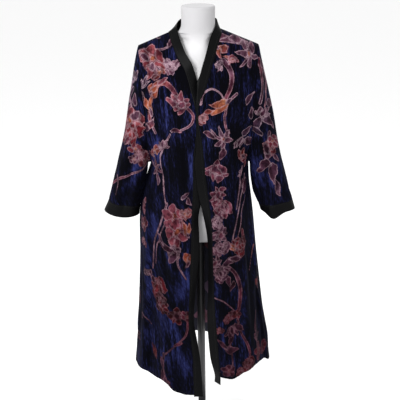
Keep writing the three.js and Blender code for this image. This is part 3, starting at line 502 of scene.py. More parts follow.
def petal(local, width, tip, bend=0.0, frill=0.0):  # a petal from (0, 0) to (0, 1)
    y = local[:, 1]
    x = local[:, 0] - bend * y * y

    def half(t):
        t = np.clip(t, 1e-4, 1 - 1e-4)
        return width * np.sin(np.pi * t**tip) ** 0.85 * (1 + frill * np.sin(t * 23 + tip * 9))

    slope = (half(y + 0.01) - half(y - 0.01)) / 0.02
    sides = (np.abs(x) - half(y)) / np.sqrt(1 + slope**2)
    ends = np.hypot(x, y - np.clip(y, 0.02, 0.98))
    inside = (y > 0.02) & (y < 0.98)
    return np.where(inside, sides, np.maximum(ends, 0.004)), x, y


def lobed(local, lobes, depth, phase, squash=1.0):  # a round frill of radius 1
    x, y = local[:, 0], local[:, 1] / squash
    radius = np.hypot(x, y)
    angle = np.arctan2(x, y)
    scallops = np.abs(np.sin(lobes * angle / 2 + phase)) ** 0.8
    rim = 1 - depth + depth * scallops + 0.05 * np.sin(angle * 17 + phase)
    rim = rim * (1 + 0.13 * np.sin(2 * angle + phase * 3) + 0.08 * np.sin(3 * angle - phase * 5))
    return (radius - rim) * min(1.0, squash), radius, angle


def unevenly(flat, seed):  # bends the drawing a little, so that no two petals are alike
    x, z = flat[:, 0], flat[:, 1]
    moved = flat.copy()
    for k, (length, reach) in enumerate(drawing["sways"]):
        a, b = 2 * np.pi / length, seed * (k + 1.3)
        across = reach * np.sin(a * (z * 0.9 + x * 0.31) + b)
        along = reach * np.sin(a * (x * 0.94 - z * 0.36) + b * 2.1)
        moved[:, 0] += across * np.cos(a * (x * 0.62 - z * 0.27) + b * 1.7)
        moved[:, 1] += along * np.cos(a * (z * 0.58 + x * 0.24) + b)
    return moved


def freshPattern(count):
    return {
        "edge": np.full(count, drawing["farEdge"]), "line": np.full(count, drawing["farLine"]),
        "colour": np.tile(drawing["bare"], (count, 1)),
    }


def paint(pattern, pick, edge, line, colour):
    old = pattern["edge"][pick]
    inside = edge < 0
    nearer = inside | ((old > 0) & (edge < old))
    outside = np.where(old < 0, np.maximum(old, -edge), np.minimum(old, edge))
    pattern["edge"][pick] = np.where(inside, edge, outside)
    pattern["line"][pick] = np.where(nearer, np.clip(line, 0, drawing["farLine"]), pattern["line"][pick])
    pattern["colour"][pick] = np.where(nearer[:, None], colour, pattern["colour"][pick])


def blend(first, second, t):
    a, b = np.array(flowerColours[first]), np.array(flowerColours[second])
    return a + (b - a) * smooth(t)[:, None]


def paintPetal(pattern, pick, local, size, first, second, **shape):
    edge, x, y = petal(local, **shape)
    veins = np.abs(((y - 0.8 * np.abs(x)) / 0.19) % 1 - 0.5) * 0.19 * 0.78
    line = np.minimum(np.abs(x), np.where(np.abs(x) > 0.03, veins, drawing["farLine"])) * size
    line = np.where((y > 0.08) & (y < 0.92), line, drawing["farLine"])
    paint(pattern, pick, edge * size, line, blend(first, second, y))


def paintFrill(pattern, pick, local, size, first, second, lobes, depth, phase, squash=1.0):
    edge, radius, angle = lobed(local, lobes, depth, phase, squash)
    spokes = np.abs(np.sin(lobes * angle + phase)) * radius / lobes
    line = np.where((radius > 0.35) & (radius < 0.85), spokes, drawing["farLine"]) * size
    paint(pattern, pick, edge * size, line, blend(first, second, radius))


def lily(pattern, pick, local, size, first, second):
    for k, turn in enumerate((32, 148, 268, 92, 208, 330)):
        shape = {"width": 0.17 if k < 3 else 0.2, "tip": 0.86, "bend": 0.12 * (-1) ** k}
        reach = 1 - 0.06 * (k % 3)
        paintPetal(pattern, pick, turned(local, turn) / reach, size * reach, first, second, **shape)
    paintFrill(pattern, pick, local / 0.13, size * 0.13, "gold", "rose", 5, 0.2, 0.3)


def rose(pattern, pick, local, size, first, second):
    whorls = ((1, 7, 0.2, 0), (0.74, 6, 1.1, 0.06), (0.5, 5, 2.0, 0.02), (0.27, 4, 0.7, -0.03))
    for reach, lobes, phase, move in whorls:
        moved = (local - [move, -move]) / reach
        paintFrill(pattern, pick, moved, size * reach, first, second, lobes, 0.17, phase)


def bloom(pattern, pick, local, size, first, second):  # broad soft petals with a frilled edge
    shape = {"width": 0.44, "tip": 1.5, "bend": 0.1, "frill": 0.05}
    for turn in (20, 95, 170, 245, 310):
        paintPetal(pattern, pick, turned(local, turn), size, first, second, **shape)
    paintFrill(pattern, pick, local / 0.24, size * 0.24, "gold", "orange", 6, 0.25, 0.4)


def star(pattern, pick, local, size, first, second):  # a wide open flower with pointed, uneven petals
    for k, turn in enumerate((15, 62, 118, 160, 214, 268, 318)):
        reach = (1, 0.82, 0.95, 0.8, 1, 0.86, 0.92)[k]
        shape = {"width": 0.27, "tip": 0.95, "bend": 0.12 * (-1) ** k, "frill": 0.07}
        paintPetal(pattern, pick, turned(local, turn) / reach, size * reach, first, second, **shape)
    paintFrill(pattern, pick, local / 0.3, size * 0.3, "mauve", "rose", 7, 0.2, 0.9)


def trumpet(pattern, pick, local, size, first, second):
    tube = (local + [0, 1.0]) / 1.45
    paintPetal(pattern, pick, tube, size * 1.45, first, second, width=0.17, tip=1.5, bend=0.06)
    paintFrill(pattern, pick, (local - [0, 0.36]) / 0.6, size * 0.6, second, second, 6, 0.24, 0.5, 0.75)
    paintFrill(pattern, pick, (local - [0, 0.4]) / 0.24, size * 0.24, first, second, 5, 0.2, 0.1, 0.7)


def bud(pattern, pick, local, size, first, second):
    foot = local + [0, 0.5]
    paintPetal(pattern, pick, turned(foot, 12), size, first, second, width=0.26, tip=0.95, bend=-0.1)
    paintPetal(pattern, pick, turned(foot, -10), size, first, second, width=0.2, tip=0.9, bend=0.12)
    paintPetal(pattern, pick, (local + [0, 0.62]) / 0.45, size * 0.45, "mauve", "lilac", width=0.3, tip=0.9)


def leaf(pattern, pick, local, size, first, second):
    paintPetal(pattern, pick, local + [0, 0.5], size, first, second, width=0.23, tip=0.9, bend=0.2)


def spray(pattern, pick, local, size, first, second):  # leaves in a fan
    for turn, reach in ((58, 0.72), (-50, 0.8), (28, 0.9), (-18, 1.0), (4, 0.85)):
        moved = turned(local + [0, 0.5], turn) / reach
        paintPetal(pattern, pick, moved, size * reach, first, second, width=0.19, tip=0.88, bend=0.12)


motifShapes = {
    "star": star, "lily": lily, "rose": rose, "bloom": bloom, "trumpet": trumpet, "bud": bud, "leaf": leaf,
    "spray": spray,
}


def splinePoints(points, steps=12):
    return refineAxis(np.array(points, dtype=float), steps, False)


def paintVine(pattern, flat, points, width, first, second):
    curve = splinePoints(points)
    low, high = curve.min(axis=0) - 30, curve.max(axis=0) + 30
    pick = np.nonzero(((flat > low) & (flat < high)).all(axis=1))[0]
    if not len(pick):
        return
    local = flat[pick]
    best = np.full(len(pick), 1e9)
    share = np.zeros(len(pick))
    for k in range(len(curve) - 1):
        way = curve[k + 1] - curve[k]
        t = np.clip((local - curve[k]) @ way / max(way @ way, 1e-9), 0, 1)
        gap = np.linalg.norm(local - curve[k] - t[:, None] * way, axis=1)
        share = np.where(gap < best, (k + t) / (len(curve) - 1), share)
        best = np.minimum(best, gap)
    half = width / 2 * (1 - 0.35 * share)
    middle = np.where(half > 4, best * 1.1, drawing["farLine"])
    paint(pattern, pick, best - half, middle, blend(first, second, share))


def paintMotif(pattern, flat, kind, x, z, size, turn, first, second):
    local = flat - [x, z]
    pick = np.nonzero((np.abs(local) < size * 1.35 + 14).all(axis=1))[0]
    if len(pick):
        motifShapes[kind](pattern, pick, turned(local[pick], -turn) / size, size, first, second)


# Shader helpers: sums are written as Python sums, other nodes come from one method

class Signal:
    def __init__(self, tree, socket):
        self.tree, self.socket = tree, socket

    def maths(self, operation, *values):
        node = self.tree.nodes.new("ShaderNodeMath")
        node.operation = operation
        for slot, value in zip(node.inputs, values):
            if isinstance(value, Signal):
                self.tree.links.new(value.socket, slot)
            else:
                slot.default_value = value
        return Signal(self.tree, node.outputs[0])

    def __add__(self, other):
        return self.maths("ADD", self, other)

    def __sub__(self, other):
        return self.maths("SUBTRACT", self, other)

    def __rsub__(self, other):
        return self.maths("SUBTRACT", other, self)

    def __mul__(self, other):
        return self.maths("MULTIPLY", self, other)

    def __truediv__(self, other):
        return self.maths("DIVIDE", self, other)

    def __abs__(self):
        return self.maths("ABSOLUTE", self)

    __radd__ = __add__
    __rmul__ = __mul__

    def clamped(self):
        return self.maths("MAXIMUM", self.maths("MINIMUM", self, 1.0), 0.0)


class Finish:
    def __init__(self, name):
        self.material = bpy.data.materials.new(name)
        self.material.use_nodes = True
        self.tree = self.material.node_tree
        self.tree.nodes.clear()

    def node(self, kind, settings=None, sockets=None, output=0):
        node = self.tree.nodes.new(kind)
        for name, value in (settings or {}).items():
            setattr(node, name, value)
        for name, value in (sockets or {}).items():
            if isinstance(value, Signal):
                self.tree.links.new(value.socket, node.inputs[name])
            else:
                node.inputs[name].default_value = value
        return Signal(self.tree, node.outputs[output])

    def mix(self, factor, a, b, way="MIX"):
        colours = {6: a if isinstance(a, Signal) else (*a, 1), 7: b if isinstance(b, Signal) else (*b, 1)}
        return self.node("ShaderNodeMix", {"data_type": "RGBA", "blend_type": way}, {0: factor, **colours}, 2)

    def dimmed(self, colour, amounts):
        return self.mix(1.0, colour, amounts, "MULTIPLY")

    def blend(self, factor, a, b):
        return self.node("ShaderNodeMix", {"data_type": "FLOAT"}, {0: factor, 2: a, 3: b}, 0)

    def leaned(self, vector, angle):
        sockets = {"Vector": vector, "Angle": angle}
        return self.node("ShaderNodeVectorRotate", {"rotation_type": "Z_AXIS"}, sockets)

    def scaled(self, vector, amounts):
        return self.node("ShaderNodeVectorMath", {"operation": "MULTIPLY"}, {0: vector, 1: amounts})

    def noise(self, vector, amounts, detail=3.0, roughness=0.55):
        place = self.scaled(vector, amounts)
        sockets = {"Vector": place, "Scale": 1.0, "Detail": detail, "Roughness": roughness}
        return self.node("ShaderNodeTexNoise", None, sockets, 0)

    def parts(self, vector):
        first = self.node("ShaderNodeSeparateXYZ", None, {0: vector}, 0)
        outputs = first.socket.node.outputs
        return [Signal(self.tree, output) for output in outputs]

    def bump(self, height, distance, strength):
        sockets = {"Height": height, "Distance": distance, "Strength": strength}
        return self.node("ShaderNodeBump", None, sockets)

    def finish(self, **sockets):
        names = {name.replace("_", " "): value for name, value in sockets.items()}
        shader = self.node("ShaderNodeBsdfPrincipled", None, names)
        out = self.tree.nodes.new("ShaderNodeOutputMaterial")
        self.tree.links.new(shader.socket, out.inputs["Surface"])
        return self.material


# Pile colours from black to royal blue; the royal blue is partly the pile's own pressed tone and partly
# painted sheen.
velvetLook = {
    "black": (0.0008, 0.0008, 0.0018), "navy": (0.0022, 0.0024, 0.0095), "blue": (0.008, 0.0095, 0.042),
    "royal": (0.019, 0.024, 0.092), "outline": (0.35, 0.25, 0.285), "sheen": 0.02,
    "sheenTint": (0.3, 0.3, 0.8, 1), "lean": -0.06, "slant": -0.48, "slantBelow": 1.08, "dimBelow": 1.25,
    "streak": 7.6, "patch": 2.2, "fleck": 6.5, "pileAndPaintedSheen": 3.1, "bump": 0.0008,
}


def velvetMaterial():
    look = Finish("burntVelvet")
    cloth = look.node("ShaderNodeUVMap", {"uv_map": "cloth"})
    fields = look.node("ShaderNodeAttribute", {"attribute_name": "pattern"}, None, "Vector")
    tint = look.node("ShaderNodeAttribute", {"attribute_name": "tint"}, None, "Color")
    # The third value brings the pile's pressed tone with painted sheen and painted shade.
    edge, line, pileAndPaintedSheen = look.parts(fields)
    wander = look.noise(cloth, (260, 260, 1), 3.0, 0.6)
    edge = edge + (wander - 0.5) * 4.5
    burnt = (0.5 - edge * 0.7).clamped()
    outline = (1.25 - abs(edge + 1.5) / 1.05).clamped()
    vein = (1.1 - line * 0.75).clamped()
    upright = look.leaned(cloth, velvetLook["lean"])
    slanting = look.leaned(cloth, velvetLook["slant"])
    height = look.parts(cloth)[1]
    area = ((look.noise(cloth, (5, 4, 1), 2.0, 0.5) - 0.5) * 7.0 + 0.5).clamped()
    area = area * ((velvetLook["slantBelow"] - height) * 6.0).clamped()
    streak = look.blend(
        area, look.noise(upright, (110, 10, 1), 5.0, 0.62), look.noise(slanting, (95, 13, 1), 5.0, 0.62),
    )
    patch = look.noise(cloth, (9, 5.5, 1), 3.0, 0.5)
    fleck = look.blend(
        area, look.noise(upright, (330, 60, 1), 3.0, 0.6), look.noise(slanting, (300, 70, 1), 3.0, 0.6),
    )
    # The pile goes from black to royal blue with its streaks and the painted sheen: partly the velvet's own
    # pressed pile, partly painted highlight and painted shade.
    lieAndSheen = (streak - 0.5) * velvetLook["streak"] + (patch - 0.5) * velvetLook["patch"]
    lieAndSheen = lieAndSheen + (fleck - 0.5) * velvetLook["fleck"] + (pileAndPaintedSheen - 0.52) * velvetLook["pileAndPaintedSheen"]
    pressed = (lieAndSheen * 0.5 + 0.5).clamped()
    pile = look.mix((lieAndSheen * 0.8 + 1.1).clamped(), velvetLook["black"], velvetLook["navy"])
    pile = look.mix((lieAndSheen * 0.9 + 0.25).clamped(), pile, velvetLook["blue"])
    pile = look.mix((lieAndSheen * 0.9 - 0.75).clamped(), pile, velvetLook["royal"])
    pale = look.noise(cloth, (44, 30, 1), 4.0, 0.65)
    shade = ((pale - 0.4) * 3.6).clamped()
    inner = ((0.0 - edge - 1.8) * 0.24).clamped()
    lower = ((velvetLook["dimBelow"] - height) * 1.4).clamped()
    pile = look.mix(lower * 0.3, pile, velvetLook["black"])
    deep = ((look.noise(cloth, (30, 22, 1), 3.0, 0.6) - 0.42) * 4.0).clamped()
    tint = look.mix(deep, look.dimmed(tint, (0.62, 0.40, 0.46)), tint)
    red, _, violet = look.parts(tint)
    cool = ((0.12 - red + violet) * 5.0).clamped()
    tint = look.mix(lower, look.dimmed(tint, (0.6, 0.42, 0.45)), look.dimmed(tint, (0.2, 0.09, 0.12)))
    tint = look.mix(inner * cool * 0.85, tint, look.dimmed(tint, (0.26, 0.2, 0.27)))
    dye = look.mix(shade, look.dimmed(tint, (0.16, 0.1, 0.15)), tint)
    dye = look.mix(vein * (0.25 + cool * 0.4), dye, look.dimmed(dye, (0.2, 0.14, 0.24)))
    edging = velvetLook["outline"]
    edging = look.mix(lower, edging, look.dimmed(edging, (0.27, 0.19, 0.21)))
    dye = look.mix(outline * (0.75 + cool * 0.25) * (0.22 + shade * 0.7), dye, edging)
    base = look.mix(burnt, pile, dye)
    grain = look.noise(cloth, (1900, 1500, 1), 2.0)
    relief = (1.0 - burnt) * 0.8 + grain * 0.25 + pressed * 0.2
    return look.finish(
        Base_Color=base, Roughness=0.95 - burnt * 0.2, Normal=look.bump(relief, velvetLook["bump"], 0.7),
        Sheen_Weight=velvetLook["sheen"], Sheen_Roughness=0.4, Sheen_Tint=velvetLook["sheenTint"],
        Specular_IOR_Level=0.04,
    )


def wrongSideMaterial():  # the cloth's inside: flat woven ground with the dye showing through
    look = Finish("velvetWrongSide")
    cloth = look.node("ShaderNodeUVMap", {"uv_map": "cloth"})
    fields = look.node("ShaderNodeAttribute", {"attribute_name": "pattern"}, None, "Vector")
    tint = look.node("ShaderNodeAttribute", {"attribute_name": "tint"}, None, "Color")
    edge = look.parts(fields)[0]
    burnt = (0.5 - edge * 0.5).clamped()
    weave = look.noise(cloth, (1400, 1400, 1), 2.0)
    dye = look.dimmed(tint, (0.4, 0.38, 0.45))
    base = look.mix(burnt, (0.008, 0.008, 0.02), dye)
    return look.finish(
        Base_Color=base, Roughness=0.7 + weave * 0.1, Normal=look.bump(weave, 0.0003, 0.5),
        Specular_IOR_Level=0.3,
    )


def satinMaterial():
    look = Finish("blackSatin")
    cloth = look.node("ShaderNodeUVMap", {"uv_map": "cloth"})
    soft = look.noise(cloth, (30, 8, 1), 3.0)
    weave = look.noise(cloth, (900, 2600, 1), 2.0)
    base = look.mix(soft, (0.0006, 0.0006, 0.0007), (0.0022, 0.0022, 0.0027))
    height = soft * 1.4 + weave * 0.12
    return look.finish(
        Base_Color=base, Roughness=0.42 + soft * 0.14, Normal=look.bump(height, 0.0012, 0.5),
        Specular_IOR_Level=0.06,
    )


# One white jersey covers the form; the neck and the hips in the slit are painted darker than the chest,
# painted shade.
jerseyLook = {
    "neck": (0.40, 0.395, 0.405), "chest": (0.58, 0.575, 0.585), "shadedHips": (0.36, 0.355, 0.365),
    "shade": (0.5, 0.495, 0.505), "neckFrom": 1.52, "hipShadeFrom": 1.15,
}


def jerseyMaterial():
    look = Finish("whiteJersey")
    place = look.node("ShaderNodeTexCoord", None, None, "Object")
    knit = look.node(
        "ShaderNodeTexWave", {"wave_type": "BANDS", "bands_direction": "Z"},
        {"Vector": place, "Scale": 420.0, "Distortion": 1.5, "Detail": 2.0, "Detail Scale": 2.0}, "Fac",
    )
    shade = look.noise(place, (14, 14, 14), 3.0)
    height = look.parts(place)[2]
    # Painted shade: a darker neck above and darker hips below.
    belowNeck = ((jerseyLook["neckFrom"] - height) * 22.0).clamped()
    hipShade = ((jerseyLook["hipShadeFrom"] - height) * 8.0).clamped()
    base = look.mix(belowNeck, jerseyLook["neck"], jerseyLook["chest"])
    base = look.mix(hipShade, base, jerseyLook["shadedHips"])
    base = look.mix(shade * 0.25, base, jerseyLook["shade"])
    return look.finish(
        Base_Color=base, Roughness=0.85 + shade * 0.1, Normal=look.bump(knit, 0.0003, 0.35),
        Specular_IOR_Level=0.2, Sheen_Weight=0.1,
    )


def metalMaterial():
    look = Finish("darkPaintedMetal")
    place = look.node("ShaderNodeTexCoord", None, None, "Object")
    fine = look.noise(place, (900, 900, 900), 2.0)
    wear = look.noise(place, (26, 26, 5), 4.0, 0.6)
    base = look.mix(wear, (0.016, 0.016, 0.017), (0.045, 0.045, 0.047))
    return look.finish(
        Base_Color=base, Roughness=0.28 + wear * 0.16, Metallic=0.35, Normal=look.bump(fine, 0.0001, 0.3),
        Coat_Weight=0.2,
    )


def threadMaterial():
    look = Finish("blackThread")
    place = look.node("ShaderNodeTexCoord", None, None, "Object")
    twist = look.noise(place, (2600, 2600, 5200), 2.0)
    base = look.mix(twist, (0.004, 0.004, 0.005), (0.02, 0.02, 0.024))
    return look.finish(Base_Color=base, Roughness=0.6 + twist * 0.15, Specular_IOR_Level=0.2)


velvet, wrongSide, satin = velvetMaterial(), wrongSideMaterial(), satinMaterial()
jersey, darkMetal, thread = jerseyMaterial(), metalMaterial(), threadMaterial()
print("materials made")


# Meshes

def makeMesh(name, points, faces, materials):
    mesh = bpy.data.meshes.new(name)
    mesh.from_pydata((points / 1000).tolist(), [], faces.tolist() if hasattr(faces, "tolist") else faces)
    mesh.polygons.foreach_set("use_smooth", [True] * len(mesh.polygons))
    for material in materials:
        mesh.materials.append(material)
    mesh.update()
    piece = bpy.data.objects.new(name, mesh)
    bpy.context.scene.collection.objects.link(piece)
    return piece


def pointValues(mesh, name, kind, field, values):
    mesh.attributes.new(name, kind, "POINT").data.foreach_set(field, values.reshape(-1))


def clothPiece(name, grid, chart, materials, wall, wraps=False, pattern=None, pileAndPaintedSheen=0.5):
    rows, columns = grid.shape[:2]
    r, c = np.meshgrid(np.arange(rows - 1), np.arange(columns if wraps else columns - 1), indexing="ij")
    nextColumn = (c + 1) % columns
    quads = np.stack([r * columns + c, (r + 1) * columns + c, (r + 1) * columns + nextColumn,
                      r * columns + nextColumn], axis=-1).reshape(-1, 4)
    flat = chart.reshape(-1, 2)
    width = chart.shape[1]
    corners = np.stack([r * width + c, (r + 1) * width + c, (r + 1) * width + c + 1, r * width + c + 1],
                       axis=-1).reshape(-1, 4)
    points = grid.reshape(-1, 3)
    a, b, d = points[quads[:, 0]], points[quads[:, 1]], points[quads[:, 3]]
    centre = points[quads[:, 0]] * [0, 0, 1] + [0, robe["shoulderY"], 0]
    if wraps:
        centre = grid.mean(axis=1)[quads[:, 0] // columns]
    if (np.cross(b - a, d - a) * (a - centre)).sum() < 0:
        quads, corners = quads[:, ::-1], corners[:, ::-1]
    piece = makeMesh(name, points, quads, materials)
    layer = piece.data.uv_layers.new(name="cloth")
    layer.data.foreach_set("uv", (flat[corners.reshape(-1)] / 1000).reshape(-1))
    if pattern:
        # The third value is the pile's pressed tone with its painted sheen and painted shade.
        values = np.stack([pattern["edge"], pattern["line"], np.broadcast_to(pileAndPaintedSheen, len(points))], axis=1)
        colours = np.concatenate([pattern["colour"], np.ones((len(points), 1))], axis=1)
        pointValues(piece.data, "pattern", "FLOAT_VECTOR", "vector", values)
        pointValues(piece.data, "tint", "FLOAT_COLOR", "color", colours)
    shell = piece.modifiers.new("wall", "SOLIDIFY")
    shell.thickness = wall / 1000
    shell.offset = 0
    shell.material_offset = len(materials) - 1
    return piece


def register(piece, node):
    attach(piece, "root")
    if node:
        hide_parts(node)


def surfaceArea(grid, wraps=False):
    if wraps:
        grid = np.concatenate([grid, grid[:, :1]], axis=1)
    across, down = grid[:-1, 1:] - grid[:-1, :-1], grid[1:, :-1] - grid[:-1, :-1]
    return np.linalg.norm(np.cross(across, down), axis=2).sum() / 1e6


def edgeFade(rows, columns, top, bottom, sides):  # 0 at the seams, 1 inside
    v, u = np.linspace(0, 1, rows)[:, None], np.linspace(0, 1, columns)[None, :]
    fade = smooth(v / top) if top else np.ones_like(v)
    fade = fade * (smooth((1 - v) / bottom) if bottom else 1)
    return fade * (smooth(u / sides) * smooth((1 - u) / sides) if sides else np.ones_like(u))


def outwardNormals(grid, wraps=False):
    normals = gridNormals(grid, wraps)
    centre = grid.mean(axis=1, keepdims=True) if wraps else grid * [0, 0, 1] + [0, robe["shoulderY"], 0]
    return normals if (normals * (grid - centre)).sum() > 0 else -normals


def blankPanel(seed, pileAndPaintedSheen):
    # Each panel gets a base value for the pile's pressed tone and painted sheen; the fold value paints
    # highlight on fold crests and shade in troughs.
    return {"ripple": 0.9, "seamRise": 0.8, "seamWidth": 7, "seed": seed, "pileAndPaintedSheen": pileAndPaintedSheen, "paintedFoldSheen": 0.05}


def seamDistance(chart, hems):  # how far each point is from the piece's sewn edges
    down = np.linalg.norm(np.diff(chart, axis=0), axis=2)
    down = np.concatenate([np.zeros((1, chart.shape[1])), np.cumsum(down, axis=0)])
    across = np.linalg.norm(np.diff(chart, axis=1), axis=2)
    across = np.concatenate([np.zeros((len(chart), 1)), np.cumsum(across, axis=1)], axis=1)
    nearest = np.minimum(across, across[:, -1:] - across)
    nearest = np.minimum(nearest, down)
    return nearest if hems else np.minimum(nearest, down[-1:] - down)


def velvetPanel(name, values, grid, chart, fade, wraps=False):
    offset = creaseOffset(chart, values["creases"]) + rippleOffset(chart, values["ripple"], values["seed"])
    # Painted sheen: the pile colour is raised along bright strokes and lowered along dark ones, and raised on
    # fold crests and lowered in troughs; painted highlight and painted shade over the pile's pressed tone.
    pileAndPaintedSheen = values["pileAndPaintedSheen"] + creaseOffset(chart, values["paintedSheenStrokes"]) + values["paintedFoldSheen"] * offset
    raised = values["seamRise"] * smooth(seamDistance(chart, not wraps) / values["seamWidth"])
    if wraps:
        offset, raised, pileAndPaintedSheen = offset[:, :-1], raised[:, :-1], pileAndPaintedSheen[:, :-1]
    grid = grid + outwardNormals(grid, wraps) * (offset * fade + raised)[..., None]
    flat = (chart[:, :-1] if wraps else chart).reshape(-1, 2)
    bent = unevenly(flat, values["seed"])
    pattern = freshPattern(len(flat))
    for vine in values["vines"]:
        paintVine(pattern, flat, *vine)
    for motif in values["motifs"]:
        paintMotif(pattern, bent, *motif)
    cover = (pattern["edge"] < 0).mean()
    print(f"{name}: {len(flat)} points, {surfaceArea(grid, wraps):.4f} m2, pattern {cover:.2f}")
    materials = [velvet, wrongSide]
    piece = clothPiece(name, grid, chart, materials, robe["velvetWall"], wraps, pattern, pileAndPaintedSheen.reshape(-1))
    return piece, grid


def bodyPanel(name, node, values, grid, chart):
    fade = edgeFade(*grid.shape[:2], robe["creaseTopFade"], 0, values["sideFade"])
    piece, grid = velvetPanel(name, values, grid, chart, fade)
    register(piece, node)
    return grid


# Viewer's right front

rightFront = {
    **blankPanel(1.3, 0.24), "steps": (14, 6), "cut": (0.31, 1.26), "area": 0.29, "sideFade": 0.06,
    # Painted sheen strokes, x0 z0 x1 z1 width strength: positive ones painted highlight on the pile, negative
    # ones painted shade.
    "paintedSheenStrokes": [
        (29, 1290, 25, 1150, 9, 0.5), (158, 1410, 163, 1290, 9, 0.4), (46, 740, 50, 590, 8, 0.5),
        (162, 730, 143, 620, 10, 0.3), (65, 540, 73, 400, 9, 0.45), (93, 385, 146, 310, 20, 0.4),
        (44, 1250, 37, 1180, 9, 0.3), (164, 1340, 181, 1260, 8, 0.35), (30, 980, 34, 860, 7, 0.3),
        (86, 1400, 83, 1260, 26, -0.3), (122, 1240, 128, 1060, 24, -0.4), (146, 905, 138, 740, 16, -0.3),
        (112, 790, 108, 620, 26, -0.3), (180, 640, 211, 420, 30, -0.3), (264, 640, 292, 420, 12, 0.3),
        (232, 900, 244, 760, 10, 0.3),
    ],
    "creases": [
        (186, 1120, 120, 1010, 13, 4), (176, 1086, 96, 940, 11, -4), (192, 1040, 150, 900, 10, 3.5),
        (150, 1330, 168, 1180, 14, 4), (126, 1380, 142, 1230, 12, -3), (96, 1280, 84, 1060, 15, 3.5),
        (58, 1180, 62, 930, 13, -3), (40, 1040, 58, 700, 11, 3.5), (208, 900, 236, 560, 15, 5),
        (172, 820, 196, 420, 13, -5), (120, 760, 132, 400, 14, 5), (84, 640, 92, 330, 12, -4),
        (250, 700, 300, 330, 16, -5), (282, 560, 330, 330, 14, 5), (150, 520, 168, 320, 10, 4),
        (66, 470, 70, 310, 9, 4),
    ],
    "vines": [
        ([(60, 1500), (95, 1494), (130, 1486), (160, 1476)], 22, "mauve", "lilac"),
        ([(82, 1430), (100, 1408), (109, 1380), (104, 1345), (88, 1312), (84, 1300)], 19, "mauve", "rose"),
        ([(6, 1300), (14, 1330), (42, 1345), (70, 1330), (84, 1304)], 8, "lilac", "mauve"),
        ([(126, 1324), (104, 1306), (90, 1280), (92, 1240), (98, 1200), (104, 1165)], 11, "mauve", "rose"),
        ([(160, 1040), (158, 1010), (146, 975), (132, 925)], 8, "lilac", "lilac"),
        ([(188, 1036), (178, 1000), (156, 960), (130, 880), (112, 800)], 8, "lilac", "mauve"),
        ([(186, 960), (160, 925), (150, 870), (128, 810)], 6, "lilac", "lilac"),
        ([(104, 716), (128, 692), (144, 640), (143, 580), (136, 530)], 15, "mauve", "rose"),
        ([(48, 612), (78, 596), (104, 572), (128, 548)], 6, "grey", "lilac"),
        ([(136, 520), (150, 470), (172, 425), (180, 385), (166, 340)], 11, "mauve", "rose"),
        ([(108, 410), (112, 380), (112, 345), (108, 320)], 9, "mauve", "lilac"),
        ([(232, 770), (222, 730), (206, 680)], 6, "orange", "mauve"),
        ([(240, 520), (222, 470), (224, 410)], 14, "plum", "mauve"),
    ],
    "motifs": [
        ("leaf", 122, 1496, 52, 78, "mauve", "lilac"), ("leaf", 80, 1508, 36, 100, "mauve", "lilac"),
        ("lily", 160, 1449, 47, 8, "mauve", "lilac"),
        ("bud", 78, 1462, 46, 150, "gold", "coral"), ("trumpet", 101, 1430, 27, 132, "orange", "pink"),
        ("rose", 62, 1418, 17, 0, "lilac", "grey"), ("bud", 66, 1404, 26, 170, "lilac", "lilac"),
        ("bud", 66, 1294, 62, 245, "gold", "orange"), ("leaf", 36, 1272, 44, 230, "orange", "coral"),
        ("rose", 18, 1246, 21, 20, "orange", "coral"),
        ("lily", 78, 1184, 50, 205, "mauve", "lilac"), ("leaf", 82, 1128, 58, 186, "mauve", "lilac"),
        ("leaf", 36, 1190, 40, 265, "mauve", "lilac"),
        ("star", 56, 1066, 43, 12, "mauve", "rose"),
        ("star", 66, 985, 40, 48, "plum", "rose"), ("rose", 78, 930, 36, 30, "mauve", "rose"),
        ("rose", 54, 890, 26, 0, "plum", "mauve"), ("star", 70, 846, 36, 5, "mauve", "lilac"),
        ("rose", 66, 790, 32, 60, "mauve", "lilac"), ("star", 52, 742, 28, 25, "plum", "mauve"),
        ("rose", 76, 704, 33, 10, "plum", "mauve"), ("leaf", 104, 664, 46, 160, "mauve", "mauve"),
        ("leaf", 118, 640, 38, 190, "plum", "mauve"), ("leaf", 108, 742, 60, 60, "plum", "mauve"),
        ("trumpet", 180, 1084, 36, 338, "coral", "red"), ("bud", 172, 1112, 40, 340, "orange", "red"),
        ("star", 160, 1050, 24, 10, "mauve", "lilac"), ("leaf", 192, 988, 56, 205, "plum", "mauve"),
        ("leaf", 178, 1000, 30, 170, "rose", "mauve"),
        ("leaf", 168, 1306, 44, 20, "plum", "mauve"), ("leaf", 184, 1262, 50, 345, "slate", "mauve"),
        ("leaf", 168, 1190, 62, 18, "slate", "grey"), ("leaf", 190, 1160, 56, 60, "plum", "grey"),
        ("spray", 150, 1142, 40, 200, "plum", "plum"),
        ("rose", 142, 792, 38, 10, "coral", "red"), ("bud", 110, 786, 30, 275, "gold", "orange"),
        ("leaf", 156, 836, 34, 8, "rose", "red"), ("leaf", 128, 748, 44, 230, "mauve", "lilac"),
        ("rose", 96, 532, 24, 0, "orange", "rose"), ("bloom", 124, 536, 22, 40, "orange", "rose"),
        ("rose", 68, 488, 19, 60, "gold", "coral"), ("spray", 122, 470, 50, 170, "plum", "mauve"),
        ("leaf", 138, 486, 44, 300, "plum", "mauve"),
        ("leaf", 108, 420, 62, 96, "grey", "lilac"), ("leaf", 76, 434, 46, 290, "grey", "lilac"),
        ("leaf", 112, 446, 36, 15, "mauve", "lilac"),
        ("bud", 264, 615, 46, 0, "orange", "coral"),
        ("bloom", 232, 388, 30, 0, "coral", "rose"), ("bloom", 290, 372, 28, 30, "red", "rose"),
        ("rose", 184, 345, 26, 0, "wine", "red"), ("bloom", 96, 334, 26, 15, "rose", "mauve"),
        ("rose", 150, 312, 26, 30, "wine", "red"), ("leaf", 56, 330, 34, 100, "wine", "red"),
        ("spray", 222, 445, 46, 0, "plum", "mauve"), ("leaf", 330, 470, 60, 340, "plum", "mauve"),
    ],
}
